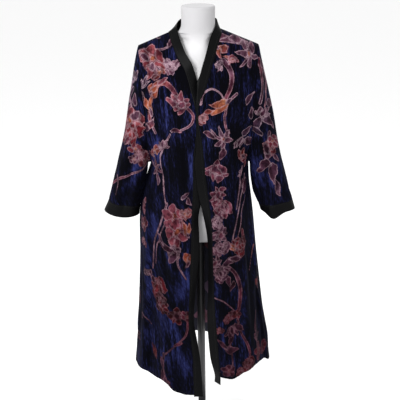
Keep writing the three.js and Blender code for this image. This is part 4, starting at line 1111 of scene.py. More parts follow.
rightFrontGrid = frontGrid(rightEdge, rightSide, rightSleeveRows, rightFrontFolds, rightHem, 1)
rightFrontGrid = refine(rightFrontGrid, *rightFront["steps"])
rightFrontGrid = bodyPanel(
    "frontRight", "front_panel_right", rightFront, rightFrontGrid, frontChart(rightFrontGrid, 1))

# Viewer's left front

leftFront = {
    **blankPanel(2.9, 0.32), "steps": (14, 6), "cut": (0.32, 1.27), "area": 0.305, "sideFade": 0.06,
    # Painted sheen strokes, x0 z0 x1 z1 width strength: positive ones painted highlight on the pile, negative
    # ones painted shade.
    "paintedSheenStrokes": [
        (-142, 1200, -216, 1040, 16, 0.6), (-157, 1170, -172, 1010, 10, 0.4),
        (-34, 1170, -33, 990, 15, 0.6),
        (-110, 1320, -126, 1170, 17, 0.45), (-90, 1480, -87, 1420, 14, 0.5),
        (-141, 1425, -158, 1375, 14, 0.45),
        (-188, 925, -179, 790, 18, 0.6), (-54, 735, -78, 580, 15, 0.5), (-44, 710, -51, 540, 9, 0.35),
        (-191, 590, -110, 450, 20, 0.5), (-130, 580, -75, 410, 13, 0.5), (-106, 440, -52, 300, 22, 0.5),
        (-208, 680, -230, 560, 14, 0.4), (-112, 370, -170, 420, 16, 0.45), (-128, 785, -106, 715, 12, 0.4),
        (-300, 900, -316, 640, 14, 0.3), (-250, 480, -196, 370, 13, 0.4), (-92, 1120, -84, 1010, 7, 0.35),
        (-61, 1440, -48, 1310, 22, -0.5), (-87, 1440, -62, 1360, 16, -0.4),
        (-70, 1320, -80, 1190, 22, -0.5),
        (-96, 1180, -98, 1000, 20, -0.5), (-65, 1190, -66, 980, 15, -0.45),
        (-335, 560, -330, 340, 26, -0.4),
        (-100, 760, -94, 650, 13, -0.4), (-242, 390, -226, 300, 18, -0.4),
        (-130, 1080, -150, 980, 12, -0.3),
        (-190, 1490, -200, 1410, 26, -0.2), (-150, 720, -160, 560, 10, -0.3),
        (-90, 560, -130, 640, 9, -0.3),
    ],
    "creases": [
        (-180, 1150, -116, 1070, 12, 4), (-190, 1100, -100, 960, 12, -4), (-196, 1050, -150, 900, 10, 4),
        (-160, 1360, -172, 1200, 13, 4), (-132, 1300, -140, 1130, 11, -3), (-98, 1240, -92, 1040, 13, 3.5),
        (-60, 1190, -58, 950, 12, -3.5), (-34, 1120, -40, 820, 9, 3), (-210, 900, -236, 620, 14, 5),
        (-170, 860, -120, 640, 12, -5), (-120, 800, -84, 560, 12, 5), (-220, 720, -150, 470, 12, 5),
        (-190, 600, -110, 400, 11, -5), (-240, 560, -170, 340, 13, 5), (-90, 620, -70, 360, 10, -4),
        (-280, 700, -300, 400, 15, -5), (-300, 520, -330, 330, 13, 5), (-60, 460, -56, 300, 9, 4),
    ],
    "vines": [
        ([(-210, 1440), (-190, 1458), (-140, 1463), (-112, 1466), (-84, 1482)], 9, "lilac", "lilac"),
        ([(-150, 1322), (-142, 1352), (-118, 1364), (-92, 1348), (-74, 1322)], 24, "orange", "rose"),
        ([(-42, 1288), (-20, 1262), (-26, 1232), (-56, 1212), (-92, 1202)], 11, "rose", "mauve"),
        ([(-100, 1192), (-120, 1160), (-140, 1120), (-146, 1080), (-134, 1010),
         (-120, 944)], 8, "lilac", "lilac"),
        ([(-116, 950), (-142, 880), (-178, 800), (-192, 700)], 9, "lilac", "mauve"),
        ([(-96, 940), (-130, 868), (-162, 800), (-178, 720)], 7, "mauve", "lilac"),
        ([(-206, 690), (-196, 660), (-188, 640)], 14, "grey", "mauve"),
        ([(-70, 790), (-80, 740), (-62, 700), (-50, 680)], 8, "grey", "lilac"),
        ([(-46, 520), (-50, 490), (-60, 462), (-90, 436), (-134, 396)], 10, "rose", "mauve"),
        ([(-138, 398), (-142, 350), (-128, 300), (-112, 268)], 13, "grey", "mauve"),
        ([(-268, 524), (-236, 510), (-206, 486)], 6, "grey", "grey"),
        ([(-168, 1262), (-172, 1230), (-158, 1190)], 15, "coral", "mauve"),
    ],
    "motifs": [
        ("leaf", -86, 1492, 38, 20, "mauve", "lilac"), ("leaf", -142, 1496, 44, 280, "slate", "mauve"),
        ("rose", -98, 1420, 31, 30, "mauve", "lilac"), ("leaf", -72, 1428, 36, 40, "lilac", "grey"),
        ("bloom", -154, 1432, 42, 12, "pink", "coral"), ("bud", -158, 1390, 52, 188, "pink", "coral"),
        ("bud", -136, 1398, 34, 160, "gold", "coral"), ("leaf", -178, 1432, 36, 300, "mauve", "lilac"),
        ("leaf", -140, 1376, 30, 190, "orange", "rose"),
        ("spray", -192, 1366, 46, 350, "slate", "grey"), ("spray", -204, 1320, 46, 200, "plum", "grey"),
        ("bud", -148, 1336, 40, 20, "gold", "orange"), ("leaf", -122, 1366, 36, 15, "pink", "rose"),
        ("star", -68, 1304, 41, 20, "mauve", "pink"),
        ("bud", -168, 1288, 58, 8, "gold", "orange"), ("leaf", -176, 1230, 48, 10, "coral", "mauve"),
        ("leaf", -72, 1206, 42, 78, "plum", "rose"), ("leaf", -186, 1208, 46, 190, "plum", "mauve"),
        ("bud", -164, 1128, 46, 30, "gold", "coral"), ("bud", -186, 1108, 34, 330, "orange", "rose"),
        ("spray", -140, 1150, 38, 10, "mauve", "lilac"),
        ("lily", -170, 1064, 40, 196, "mauve", "lilac"), ("leaf", -164, 1024, 44, 172, "lilac", "lilac"),
        ("leaf", -50, 984, 40, 24, "grey", "lilac"), ("leaf", -34, 962, 34, 330, "mauve", "lilac"),
        ("bloom", -96, 908, 47, 20, "pink", "rose"), ("bloom", -82, 852, 44, 70, "rose", "pink"),
        ("rose", -50, 914, 24, 0, "gold", "coral"), ("bud", -44, 862, 50, 350, "gold", "orange"),
        ("leaf", -76, 818, 44, 178, "rose", "coral"),
        ("spray", -88, 786, 50, 100, "plum", "mauve"), ("leaf", -122, 792, 62, 262, "plum", "mauve"),
        ("leaf", -92, 762, 54, 196, "plum", "mauve"), ("leaf", -140, 812, 40, 300, "mauve", "lilac"),
        ("bud", -42, 752, 56, 4, "gold", "orange"),
        ("rose", -230, 922, 24, 0, "coral", "rose"), ("bloom", -236, 862, 30, 30, "wine", "rose"),
        ("rose", -228, 790, 22, 60, "red", "rose"), ("spray", -214, 690, 34, 10, "slate", "grey"),
        ("rose", -166, 630, 41, 10, "coral", "red"), ("rose", -146, 586, 34, 70, "red", "wine"),
        ("bloom", -126, 560, 24, 20, "wine", "red"), ("leaf", -182, 664, 36, 340, "plum", "mauve"),
        ("star", -84, 540, 34, 10, "wine", "red"), ("bloom", -54, 548, 22, 50, "wine", "rose"),
        ("leaf", -84, 436, 40, 68, "mauve", "rose"),
        ("bud", -188, 392, 54, 350, "gold", "coral"), ("leaf", -150, 362, 46, 340, "grey", "lilac"),
        ("leaf", -138, 318, 56, 172, "grey", "mauve"), ("spray", -124, 292, 40, 150, "mauve", "rose"),
        ("leaf", -262, 512, 40, 110, "slate", "grey"), ("leaf", -300, 700, 60, 10, "slate", "mauve"),
        ("bloom", -322, 560, 34, 0, "wine", "red"), ("bud", -330, 880, 50, 12, "orange", "coral"),
        ("spray", -310, 420, 50, 20, "plum", "mauve"),
    ],
}
leftFrontGrid = frontGrid(leftEdge, leftSide, leftSleeveRows, leftFrontFolds, leftHem, -1)
leftFrontGrid = refine(leftFrontGrid, *leftFront["steps"])
leftFrontGrid = bodyPanel(
    "frontLeft", "front_panel_left", leftFront, leftFrontGrid, frontChart(leftFrontGrid, -1))

# Back

back = {
    **blankPanel(4.1, 0.34), "steps": (12, 5), "cut": (0.72, 1.25), "area": 0.64, "sideFade": 0.05,
    # Painted sheen strokes, x0 z0 x1 z1 width strength: positive ones painted highlight on the pile, negative
    # ones painted shade.
    "paintedSheenStrokes": [
        (-150, 1440, -160, 1240, 16, 0.4), (60, 1400, 48, 1200, 18, 0.45), (-60, 1180, -70, 980, 14, 0.4),
        (130, 1120, 150, 900, 16, 0.4), (-190, 900, -210, 640, 18, 0.45), (0, 860, 10, 600, 15, 0.4),
        (220, 760, 250, 500, 18, 0.4), (-90, 620, -110, 400, 16, 0.45), (110, 560, 116, 360, 14, 0.4),
        (-290, 560, -320, 380, 16, 0.4), (10, 1440, 6, 1240, 30, -0.4), (-110, 1120, -120, 900, 24, -0.4),
        (80, 980, 80, 700, 28, -0.4), (-30, 640, -36, 420, 24, -0.4), (200, 620, 220, 380, 28, -0.4),
    ],
    "creases": [
        (-200, 1130, -130, 1020, 13, 4), (-206, 1080, -110, 930, 12, -4), (204, 1140, 140, 1010, 13, 4),
        (210, 1090, 120, 940, 12, -4), (-160, 1380, -176, 1200, 15, 4), (156, 1370, 180, 1190, 15, 4),
        (-60, 1400, -48, 1160, 16, -4), (70, 1420, 58, 1200, 15, 4), (-10, 1300, 6, 1010, 16, 4),
        (-120, 980, -140, 620, 15, 5), (-50, 1000, -60, 560, 16, -5), (30, 960, 40, 520, 15, 5),
        (104, 1010, 124, 640, 14, -5), (170, 900, 200, 480, 15, 5), (-210, 860, -250, 430, 15, -5),
        (240, 760, 286, 400, 14, -5), (-290, 640, -330, 360, 13, 5), (-20, 560, -26, 340, 12, 5),
        (84, 520, 90, 330, 12, -4), (-110, 520, -116, 340, 11, 4), (300, 600, 344, 360, 13, 5),
    ],
    "vines": [
        ([(-150, 1450), (-120, 1380), (-132, 1300), (-90, 1220), (-104, 1130)], 11, "mauve", "lilac"),
        ([(-104, 1130), (-60, 1040), (-84, 940), (-40, 850), (-70, 760)], 12, "rose", "mauve"),
        ([(150, 1440), (112, 1350), (130, 1260), (70, 1180), (92, 1090)], 10, "lilac", "mauve"),
        ([(92, 1090), (150, 1010), (130, 910), (176, 820), (150, 720)], 9, "mauve", "lilac"),
        ([(-250, 960), (-216, 870), (-236, 760), (-190, 660), (-214, 560)], 9, "lilac", "mauve"),
        ([(-70, 760), (-30, 660), (-66, 560), (-30, 460), (-52, 370)], 12, "rose", "plum"),
        ([(150, 720), (112, 620), (148, 520), (120, 430), (140, 350)], 10, "mauve", "rose"),
        ([(270, 900), (250, 800), (282, 700), (256, 600), (276, 500)], 8, "grey", "lilac"),
        ([(-40, 1470), (10, 1430), (0, 1360), (40, 1300)], 8, "lilac", "lilac"),
    ],
    "motifs": [
        ("lily", -118, 1420, 48, 20, "mauve", "lilac"), ("star", 110, 1404, 44, 0, "mauve", "pink"),
        ("bloom", -20, 1452, 38, 10, "pink", "coral"), ("bud", 52, 1438, 50, 60, "gold", "coral"),
        ("rose", -160, 1330, 40, 0, "pink", "rose"), ("spray", -60, 1330, 50, 160, "mauve", "lilac"),
        ("bloom", 42, 1290, 44, 30, "pink", "coral"), ("leaf", 90, 1300, 60, 50, "mauve", "lilac"),
        ("bud", 160, 1300, 54, 340, "gold", "orange"), ("star", -92, 1220, 44, 30, "rose", "pink"),
        ("leaf", -150, 1230, 62, 240, "slate", "grey"), ("trumpet", 20, 1190, 44, 150, "orange", "pink"),
        ("lily", 110, 1180, 46, 190, "mauve", "lilac"), ("spray", -20, 1110, 52, 10, "plum", "mauve"),
        ("rose", 60, 1080, 42, 10, "coral", "rose"), ("star", -150, 1090, 46, 0, "mauve", "rose"),
        ("bud", -70, 1010, 56, 200, "gold", "orange"), ("leaf", 150, 1060, 60, 20, "mauve", "lilac"),
        ("bloom", -190, 970, 44, 40, "rose", "coral"), ("rose", 10, 960, 44, 0, "mauve", "rose"),
        ("leaf", 72, 950, 64, 120, "plum", "mauve"), ("star", 190, 930, 44, 15, "mauve", "pink"),
        ("spray", -110, 880, 56, 190, "mauve", "lilac"), ("rose", -30, 830, 40, 30, "coral", "red"),
        ("leaf", 50, 850, 66, 300, "slate", "grey"), ("bloom", 120, 830, 44, 10, "pink", "rose"),
        ("trumpet", -230, 830, 46, 20, "orange", "pink"), ("leaf", -160, 790, 60, 250, "plum", "mauve"),
        ("spray", 230, 760, 54, 170, "plum", "mauve"), ("star", -84, 720, 44, 30, "rose", "mauve"),
        ("rose", 30, 720, 42, 0, "red", "wine"), ("leaf", 90, 700, 60, 30, "mauve", "lilac"),
        ("bud", 186, 660, 56, 10, "gold", "coral"), ("rose", -190, 660, 42, 60, "coral", "red"),
        ("lily", -20, 620, 48, 0, "mauve", "lilac"), ("bloom", 110, 590, 42, 20, "wine", "rose"),
        ("leaf", -120, 600, 62, 200, "slate", "grey"), ("rose", -270, 620, 34, 0, "red", "wine"),
        ("star", 250, 590, 42, 0, "wine", "rose"), ("spray", 40, 510, 54, 150, "plum", "mauve"),
        ("rose", -60, 480, 42, 10, "red", "wine"), ("bud", -170, 490, 58, 350, "gold", "orange"),
        ("bloom", 160, 460, 42, 40, "coral", "rose"), ("leaf", 90, 420, 60, 80, "grey", "lilac"),
        ("leaf", -110, 400, 60, 300, "grey", "mauve"), ("star", -240, 440, 44, 30, "wine", "rose"),
        ("rose", 230, 400, 40, 0, "wine", "red"), ("bloom", 10, 390, 40, 0, "wine", "rose"),
        ("spray", -180, 340, 46, 160, "mauve", "lilac"), ("bud", 70, 340, 46, 160, "orange", "coral"),
        ("leaf", -300, 520, 56, 20, "plum", "mauve"), ("lily", 300, 800, 44, 20, "mauve", "lilac"),
        ("rose", -300, 760, 38, 0, "coral", "rose"), ("leaf", 310, 470, 56, 340, "grey", "lilac"),
    ],
}
backPoints = refine(backGrid(), *back["steps"])
backPoints = bodyPanel("backPanel", "back_panel", back, backPoints, backChart(backPoints))


# Sleeves

def sleevePiece(name, node, values, rows, folds, side):
    rolled = np.roll(sleeveGrid(rows, folds, side), -armholeSteps, axis=1)
    grid = refine(rolled, *values["steps"], True)
    fade = edgeFade(*grid.shape[:2], robe["sleeveCreaseTopFade"], robe["sleeveCreaseEndFade"], 0)
    piece, _ = velvetPanel(name, values, grid, sleeveChart(grid), fade, True)
    register(piece, node)


rightSleeve = {
    **blankPanel(5.3, 0.27), "steps": (11, 7), "cut": (0.43, 0.56), "area": 0.148,
    # Painted sheen strokes, x0 z0 x1 z1 width strength: positive ones painted highlight on the pile, negative
    # ones painted shade.
    "paintedSheenStrokes": [
        (187, 1080, 186, 930, 13, 0.5), (220, 1045, 226, 955, 10, 0.4), (173, 1085, 169, 970, 9, 0.4),
        (256, 1200, 284, 1050, 14, -0.4), (340, 1340, 330, 1120, 16, 0.4), (390, 1200, 380, 1040, 18, -0.3),
        (300, 1120, 330, 960, 14, 0.35), (216, 1340, 226, 1240, 10, 0.25),
    ],
    "creases": [
        (176, 1360, 214, 1200, 14, 5), (160, 1290, 210, 1130, 12, -5), (150, 1210, 232, 1090, 12, 5),
        (168, 1140, 250, 1050, 11, -5), (176, 1076, 262, 1020, 10, 5), (216, 1330, 238, 1180, 13, -4),
        (200, 1010, 252, 950, 10, 4), (236, 1100, 268, 960, 12, 4), (300, 1370, 330, 1180, 15, 5),
        (350, 1330, 340, 1120, 14, -5), (390, 1260, 380, 1060, 14, 5), (320, 1120, 350, 980, 12, -4),
        (430, 1220, 420, 1060, 13, 4),
    ],
    "vines": [
        ([(196, 1400), (204, 1360), (206, 1310), (198, 1250)], 14, "rose", "plum"),
        ([(214, 1390), (222, 1340), (222, 1290), (212, 1240)], 10, "mauve", "rose"),
        ([(228, 1150), (214, 1080), (226, 1020), (250, 960)], 12, "mauve", "lilac"),
        ([(330, 1380), (340, 1300), (320, 1220), (340, 1140), (370, 1080)], 10, "lilac", "mauve"),
    ],
    "motifs": [
        ("leaf", 214, 1392, 52, 10, "mauve", "lilac"), ("leaf", 230, 1262, 60, 355, "mauve", "lilac"),
        ("leaf", 196, 1178, 66, 25, "slate", "grey"), ("leaf", 226, 1190, 56, 330, "plum", "grey"),
        ("leaf", 180, 1150, 54, 300, "slate", "grey"), ("spray", 214, 1222, 46, 12, "plum", "mauve"),
        ("rose", 234, 1102, 33, 10, "red", "coral"), ("bloom", 246, 1122, 26, 30, "red", "rose"),
        ("leaf", 222, 1066, 42, 200, "mauve", "lilac"), ("leaf", 246, 1060, 36, 160, "mauve", "lilac"),
        ("leaf", 204, 1030, 60, 195, "plum", "mauve"), ("leaf", 232, 1010, 66, 160, "plum", "mauve"),
        ("leaf", 252, 968, 56, 150, "grey", "lilac"), ("leaf", 214, 1090, 46, 330, "plum", "mauve"),
        ("lily", 330, 1360, 44, 20, "mauve", "lilac"), ("star", 342, 1180, 40, 10, "rose", "coral"),
        ("bud", 300, 1260, 52, 340, "gold", "coral"), ("spray", 372, 1060, 50, 170, "plum", "mauve"),
        ("rose", 400, 1290, 36, 0, "coral", "rose"), ("leaf", 420, 1180, 60, 150, "slate", "grey"),
        ("bloom", 330, 1040, 34, 0, "wine", "rose"), ("leaf", 380, 1400, 50, 60, "mauve", "lilac"),
    ],
}
leftSleeve = {
    **blankPanel(6.7, 0.27), "steps": (11, 7), "cut": (0.43, 0.56), "area": 0.145,
    # Painted sheen strokes, x0 z0 x1 z1 width strength: positive ones painted highlight on the pile, negative
    # ones painted shade.
    "paintedSheenStrokes": [
        (-227, 1130, -211, 930, 12, 0.5), (-209, 1110, -204, 1030, 9, 0.35),
        (-194, 1290, -205, 1190, 12, 0.4),
        (-258, 1110, -248, 910, 18, -0.4), (-340, 1330, -334, 1120, 16, 0.4),
        (-390, 1210, -376, 1050, 18, -0.3),
        (-300, 1110, -326, 970, 14, 0.35), (-240, 1010, -246, 930, 9, 0.3),
    ],
    "creases": [
        (-172, 1370, -206, 1190, 14, 5), (-156, 1280, -214, 1140, 13, -5), (-150, 1190, -236, 1080, 12, 5),
        (-166, 1110, -250, 1030, 11, -5), (-178, 1050, -262, 1000, 10, 5), (-220, 1340, -236, 1200, 13, -4),
        (-204, 1000, -256, 950, 10, 4), (-236, 1120, -270, 980, 12, 4), (-300, 1380, -336, 1190, 15, 5),
        (-352, 1320, -342, 1110, 14, -5), (-392, 1270, -376, 1070, 14, 5), (-322, 1110, -346, 970, 12, -4),
    ],
    "vines": [
        ([(-290, 988), (-253, 996), (-222, 1004), (-186, 1018), (-160, 1040)], 11, "rose", "mauve"),
        ([(-232, 1380), (-226, 1330), (-232, 1280), (-222, 1230)], 9, "grey", "lilac"),
        ([(-330, 1370), (-346, 1290), (-326, 1210), (-350, 1120)], 10, "lilac", "mauve"),
        ([(-262, 1010), (-256, 980), (-262, 950)], 5, "lilac", "grey"),
    ],
    "motifs": [
        ("spray", -222, 1352, 46, 340, "slate", "grey"), ("leaf", -240, 1300, 50, 20, "slate", "grey"),
        ("leaf", -216, 1262, 52, 350, "plum", "mauve"), ("leaf", -238, 1236, 44, 320, "mauve", "lilac"),
        ("bloom", -226, 1196, 42, 10, "pink", "coral"), ("rose", -220, 1150, 40, 30, "coral", "red"),
        ("leaf", -212, 1212, 40, 20, "mauve", "lilac"), ("leaf", -232, 1126, 42, 190, "rose", "lilac"),
        ("bloom", -206, 1094, 24, 0, "rose", "coral"), ("rose", -198, 1064, 20, 40, "red", "rose"),
        ("bloom", -180, 1050, 22, 60, "rose", "coral"), ("bloom", -222, 1058, 18, 20, "rose", "mauve"),
        ("star", -336, 1340, 42, 0, "mauve", "lilac"), ("rose", -340, 1200, 36, 0, "rose", "coral"),
        ("leaf", -300, 1250, 56, 30, "plum", "mauve"), ("bud", -380, 1270, 54, 340, "gold", "coral"),
        ("spray", -360, 1100, 50, 180, "mauve", "lilac"), ("bloom", -410, 1160, 36, 0, "wine", "rose"),
        ("leaf", -320, 1040, 54, 160, "slate", "grey"), ("lily", -400, 1390, 40, 30, "mauve", "lilac"),
    ],
}
sleevePiece("sleeveRight", "sleeve_right", rightSleeve, rightSleeveRows, rightSleeveFolds, 1)
sleevePiece("sleeveLeft", "sleeve_left", leftSleeve, leftSleeveRows, leftSleeveFolds, -1)


# Cuffs and front bands of satin

cuffs = {"steps": (8, 7), "around": 320, "depth": 38, "rightCut": (0.036, 0.31), "leftCut": (0.037, 0.36)}


def cuffPiece(name, node, coarse):
    grid = refine(coarse, *cuffs["steps"], True)
    rows, columns = grid.shape[:2]
    around = np.arange(columns + 1) / columns * cuffs["around"]
    chart = stack(around[None, :], np.arange(rows)[:, None] * cuffs["depth"] / rows, 0)[..., :2]
    piece = clothPiece(name, grid, chart, [satin], robe["satinWall"], True)
    print(f"{name}: {surfaceArea(grid, True):.4f} m2")
    register(piece, node)
    return grid


cuffRightGrid = cuffGrid(sleeveGrid(rightSleeveRows, rightSleeveFolds, 1), rightCuffEnd, 1)
cuffRightGrid = cuffPiece("cuffRight", "cuff_right", cuffRightGrid)
cuffLeftGrid = cuffGrid(sleeveGrid(leftSleeveRows, leftSleeveFolds, -1), leftCuffEnd, -1)
cuffLeftGrid = cuffPiece("cuffLeft", "cuff_left", cuffLeftGrid)

bands = {"steps": (8, 3), "cut": (0.032, 1.46)}


def bandPiece(name, node, edge, side, drop):
    grid = refine(bandGrid(edge, side, drop), *bands["steps"])
    columns = grid.shape[1]
    length = np.linalg.norm(np.diff(grid[:, 0], axis=0), axis=1)
    length = np.concatenate([[0], np.cumsum(length)])
    chart = stack(np.linspace(0, bandSizes["width"], columns)[None, :], length[:, None], 0)[..., :2]
    piece = clothPiece(name, grid, chart, [satin], robe["satinWall"])
    print(f"{name}: {surfaceArea(grid):.4f} m2, length {length[-1]:.0f} mm")
    register(piece, node)
    return grid


bandRightGrid = bandPiece("bandRight", "front_band_right", rightEdge, 1, bandSizes["rightDrop"])
bandLeftGrid = bandPiece("bandLeft", "front_band_left", leftEdge, -1, bandSizes["leftDrop"])
print("cloth made")


# Rows of stitches beside the seams and above the hems

stitches = {
    "pitch": 4.4, "length": 2.9, "radius": 0.27, "unevenness": 0.15, "seed": 7, "velvetHem": 2, "satinRow": 2,
    "hemEnds": 3, "bandEnds": 2,
}


def stitchLine(grid, normals, lift, wraps=False):  # lifted by half the wall, so that the thread sits on it
    line = grid + normals * lift
    return np.concatenate([line, line[:1]]) if wraps else line


def stitchLines():
    lines = []
    velvetLift, satinLift = robe["velvetWall"] / 2, robe["satinWall"] / 2
    hem, row = -1 - stitches["velvetHem"], stitches["satinRow"]
    inHem = slice(stitches["hemEnds"], -stitches["hemEnds"])
    inBand = slice(stitches["bandEnds"], -stitches["bandEnds"])
    for grid in (rightFrontGrid, leftFrontGrid, backPoints):
        lines.append(stitchLine(grid[hem, inHem], outwardNormals(grid)[hem, inHem], velvetLift))
    for grid in (cuffRightGrid, cuffLeftGrid):
        lines.append(stitchLine(grid[row], outwardNormals(grid, True)[row], satinLift, True))
    for grid in (bandRightGrid, bandLeftGrid):
        lines.append(stitchLine(grid[inBand, row], outwardNormals(grid)[inBand, row], satinLift))
    return lines


def stitchTree():
    tree = bpy.data.node_groups.new("stitchRow", "GeometryNodeTree")
    tree.interface.new_socket("Paths", in_out="INPUT", socket_type="NodeSocketGeometry")
    for name in ("Pitch", "Length", "Radius", "Unevenness"):
        tree.interface.new_socket(name, in_out="INPUT", socket_type="NodeSocketFloat")
    tree.interface.new_socket("Seed", in_out="INPUT", socket_type="NodeSocketInt")
    tree.interface.new_socket("Stitches", in_out="OUTPUT", socket_type="NodeSocketGeometry")

    def add(kind, settings=None, **sockets):
        node = tree.nodes.new(kind)
        for name, value in (settings or {}).items():
            setattr(node, name, value)
        for name, value in sockets.items():
            slot = node.inputs[name.replace("_", " ")]
            if isinstance(value, bpy.types.NodeSocket):
                tree.links.new(value, slot)
            else:
                slot.default_value = value
        return node

    def maths(operation, first, second):
        node = tree.nodes.new("ShaderNodeMath")
        node.operation = operation
        for slot, value in zip(node.inputs, (first, second)):
            if isinstance(value, bpy.types.NodeSocket):
                tree.links.new(value, slot)
            else:
                slot.default_value = value
        return node.outputs[0]

    given = add("NodeGroupInput").outputs
    path = add("GeometryNodeMeshToCurve", Mesh=given["Paths"]).outputs[0]
    places = add("GeometryNodeResampleCurve", {"mode": "LENGTH"}, Curve=path, Length=given["Pitch"])
    bead = add("GeometryNodeMeshUVSphere", Segments=6, Rings=5, Radius=1.0).outputs[0]
    along = add("GeometryNodeInputTangent").outputs[0]
    turn = add("FunctionNodeAlignRotationToVector", {"axis": "Z"}, Vector=along).outputs[0]
    vary = add("FunctionNodeRandomValue", {"data_type": "FLOAT"}, Seed=given["Seed"])
    floats = [slot for slot in vary.inputs if slot.type == "VALUE"]
    tree.links.new(maths("SUBTRACT", 1.0, given["Unevenness"]), floats[0])
    tree.links.new(maths("ADD", given["Unevenness"], 1.0), floats[1])
    varied = [slot for slot in vary.outputs if slot.type == "VALUE"][0]
    half = maths("MULTIPLY", maths("MULTIPLY", given["Length"], 0.5), varied)
    size = add("ShaderNodeCombineXYZ", X=given["Radius"], Y=given["Radius"], Z=half).outputs[0]
    sewn = add("GeometryNodeInstanceOnPoints", Instance=bead, Rotation=turn, Scale=size)
    tree.links.new(places.outputs[0], sewn.inputs["Points"])
    real = add("GeometryNodeRealizeInstances", Geometry=sewn.outputs[0]).outputs[0]
    coloured = add("GeometryNodeSetMaterial", Geometry=real, Material=thread).outputs[0]
    add("NodeGroupOutput", Stitches=coloured)
    return tree


def stitchPiece():
    points, edges = [], []
    for line in stitchLines():
        first = len(points)
        points.extend((line / 1000).tolist())
        edges.extend((first + k, first + k + 1) for k in range(len(line) - 1))
    mesh = bpy.data.meshes.new("stitchPaths")
    mesh.from_pydata(points, edges, [])
    paths = bpy.data.objects.new("stitchPaths", mesh)
    bpy.context.scene.collection.objects.link(paths)
    rows = paths.modifiers.new("stitchRow", "NODES")
    rows.node_group = stitchTree()
    values = {name.capitalize(): stitches[name] / 1000 for name in ("pitch", "length", "radius")}
    values.update({"Unevenness": stitches["unevenness"], "Seed": stitches["seed"]})
    for socket in rows.node_group.interface.items_tree:
        if socket.in_out == "INPUT" and socket.name in values:
            rows[socket.identifier] = values[socket.name]
    view = bpy.context.evaluated_depsgraph_get()
    sewn = bpy.data.meshes.new_from_object(paths.evaluated_get(view))
    sewn.name = "threadStitches"
    sewn.polygons.foreach_set("use_smooth", [True] * len(sewn.polygons))
    bpy.data.objects.remove(paths)
    piece = bpy.data.objects.new("threadStitches", sewn)
    bpy.context.scene.collection.objects.link(piece)
    sewn.materials.clear()
    sewn.materials.append(thread)
    sewn.polygons.foreach_set("material_index", [0] * len(sewn.polygons))
    print(f"stitches: {len(sewn.polygons)} faces")
    return piece


register(stitchPiece(), None)


# The limbless form, its pole and its base

form = {
    "sides": 128, "rowSteps": 5, "underCloth": 1.0, "clothTop": 1530, "clothFade": 24,
    "neckSpread": 42, "neckWiden": 12, "neckFrom": 1480, "neckOver": 24, "neckPower": 4,
    "lid": ((0.15, 1.6), (0.6, 3.2), (1.5, 4.8), (2.6, 5.7), (4, 6), (24, 6), (44, 6)), "floor": (70, 40, 12),
    "rows": table(
        "z half front rear power neckFront neckRear",
        (796, 148, 106, 96, 2.2, 0, 0), (812, 156, 114, 104, 2.2, 0, 0), (900, 160, 116, 104, 2.2, 0, 0),
        (1000, 146, 108, 106, 2.2, 0, 0), (1110, 121, 94, 82, 2.2, 0, 0), (1200, 134, 104, 86, 2.2, 0, 0),
        (1290, 148, 114, 94, 2.2, 0, 0), (1370, 156, 100, 96, 2.1, 0, 0), (1425, 166, 78, 86, 2.0, 0, 0),
        (1458, 175, 54, 62, 1.9, 15, 14), (1474, 170, 40, 46, 1.8, 25, 24),
        (1489.1, 150, 20, 27, 1.6, 42, 39),
        (1500.9, 122, 16, 29, 1.6, 44, 34), (1508.9, 100, 17, 33, 1.6, 42, 28),
        (1511.7, 82, 30, 44, 1.8, 28, 15.5),
        (1515.6, 68, 48, 53, 2, 9.5, 5), (1528, 59, 56, 57, 2, 0, 0), (1546, 56.6, 56.6, 56.6, 2, 0, 0),
        (1594, 57, 57, 57, 2, 0, 0),
    ),
}
stand = {
    "sides": 96, "poleRadius": 14, "poleFrom": 12.3, "poleTo": 795.6, "poleBevel": 0.4,
    "baseRadius": 150, "baseHeight": 12, "inner": 20,
}


def formRing(z, half, front, rear, power, neckFront=0, neckRear=0):
    angle = 2 * math.pi * np.arange(form["sides"]) / form["sides"]
    c, s = np.cos(angle), np.sin(angle)
    depth = np.where(s > 0, rear, front)
    x = np.sign(c) * half * np.abs(c) ** (2 / power)
    spread = form["neckSpread"] + form["neckWiden"] * np.clip((z - form["neckFrom"]) / form["neckOver"], 0, 1)
    neck = s * np.where(s > 0, neckRear, neckFront) * np.exp(-(x / spread) ** form["neckPower"])
    return stack(x, robe["shoulderY"] + np.sign(s) * depth * np.abs(s) ** (2 / power) + neck, z)


def closedRings(name, rings, material):  # rings from the bottom to the top, closed at both ends
    rows, sides = rings.shape[:2]
    points = np.concatenate([rings.reshape(-1, 3), rings[0].mean(axis=0)[None], rings[-1].mean(axis=0)[None]])
    faces = []
    for i in range(rows - 1):
        for j in range(sides):
            a, b = i * sides + j, i * sides + (j + 1) % sides
            faces.append((a, b, b + sides, a + sides))
    bottom, top = rows * sides, rows * sides + 1
    for j in range(sides):
        following = (j + 1) % sides
        faces.append((bottom, following, j))
        faces.append((top, (rows - 1) * sides + j, (rows - 1) * sides + following))
    return makeMesh(name, points, faces, [material])


def formPiece():
    rows = list(zip(*form["rows"].values()))
    coarse = np.stack([formRing(*row) for row in rows])
    rings = refineAxis(coarse, form["rowSteps"], False)
    centre = rings.mean(axis=1, keepdims=True)
    reach = np.linalg.norm(rings - centre, axis=2, keepdims=True)
    inset = form["underCloth"] * smooth((form["clothTop"] - rings[:, :1, 2:]) / form["clothFade"])
    rings[:, :, :2] = (centre + (rings - centre) * (1 - inset / reach))[:, :, :2]
    top, radius = rows[-1][:2]
    lid = [formRing(top + rise, radius - drop, radius - drop, radius - drop, 2) for drop, rise in form["lid"]]
    low, half, front, rear, power = rows[0][:5]
    floor = [formRing(low, half - drop, front - drop, rear - drop, power) for drop in form["floor"]]
    return closedRings("formTorso", np.concatenate([np.stack(floor), rings, np.stack(lid)]), jersey)


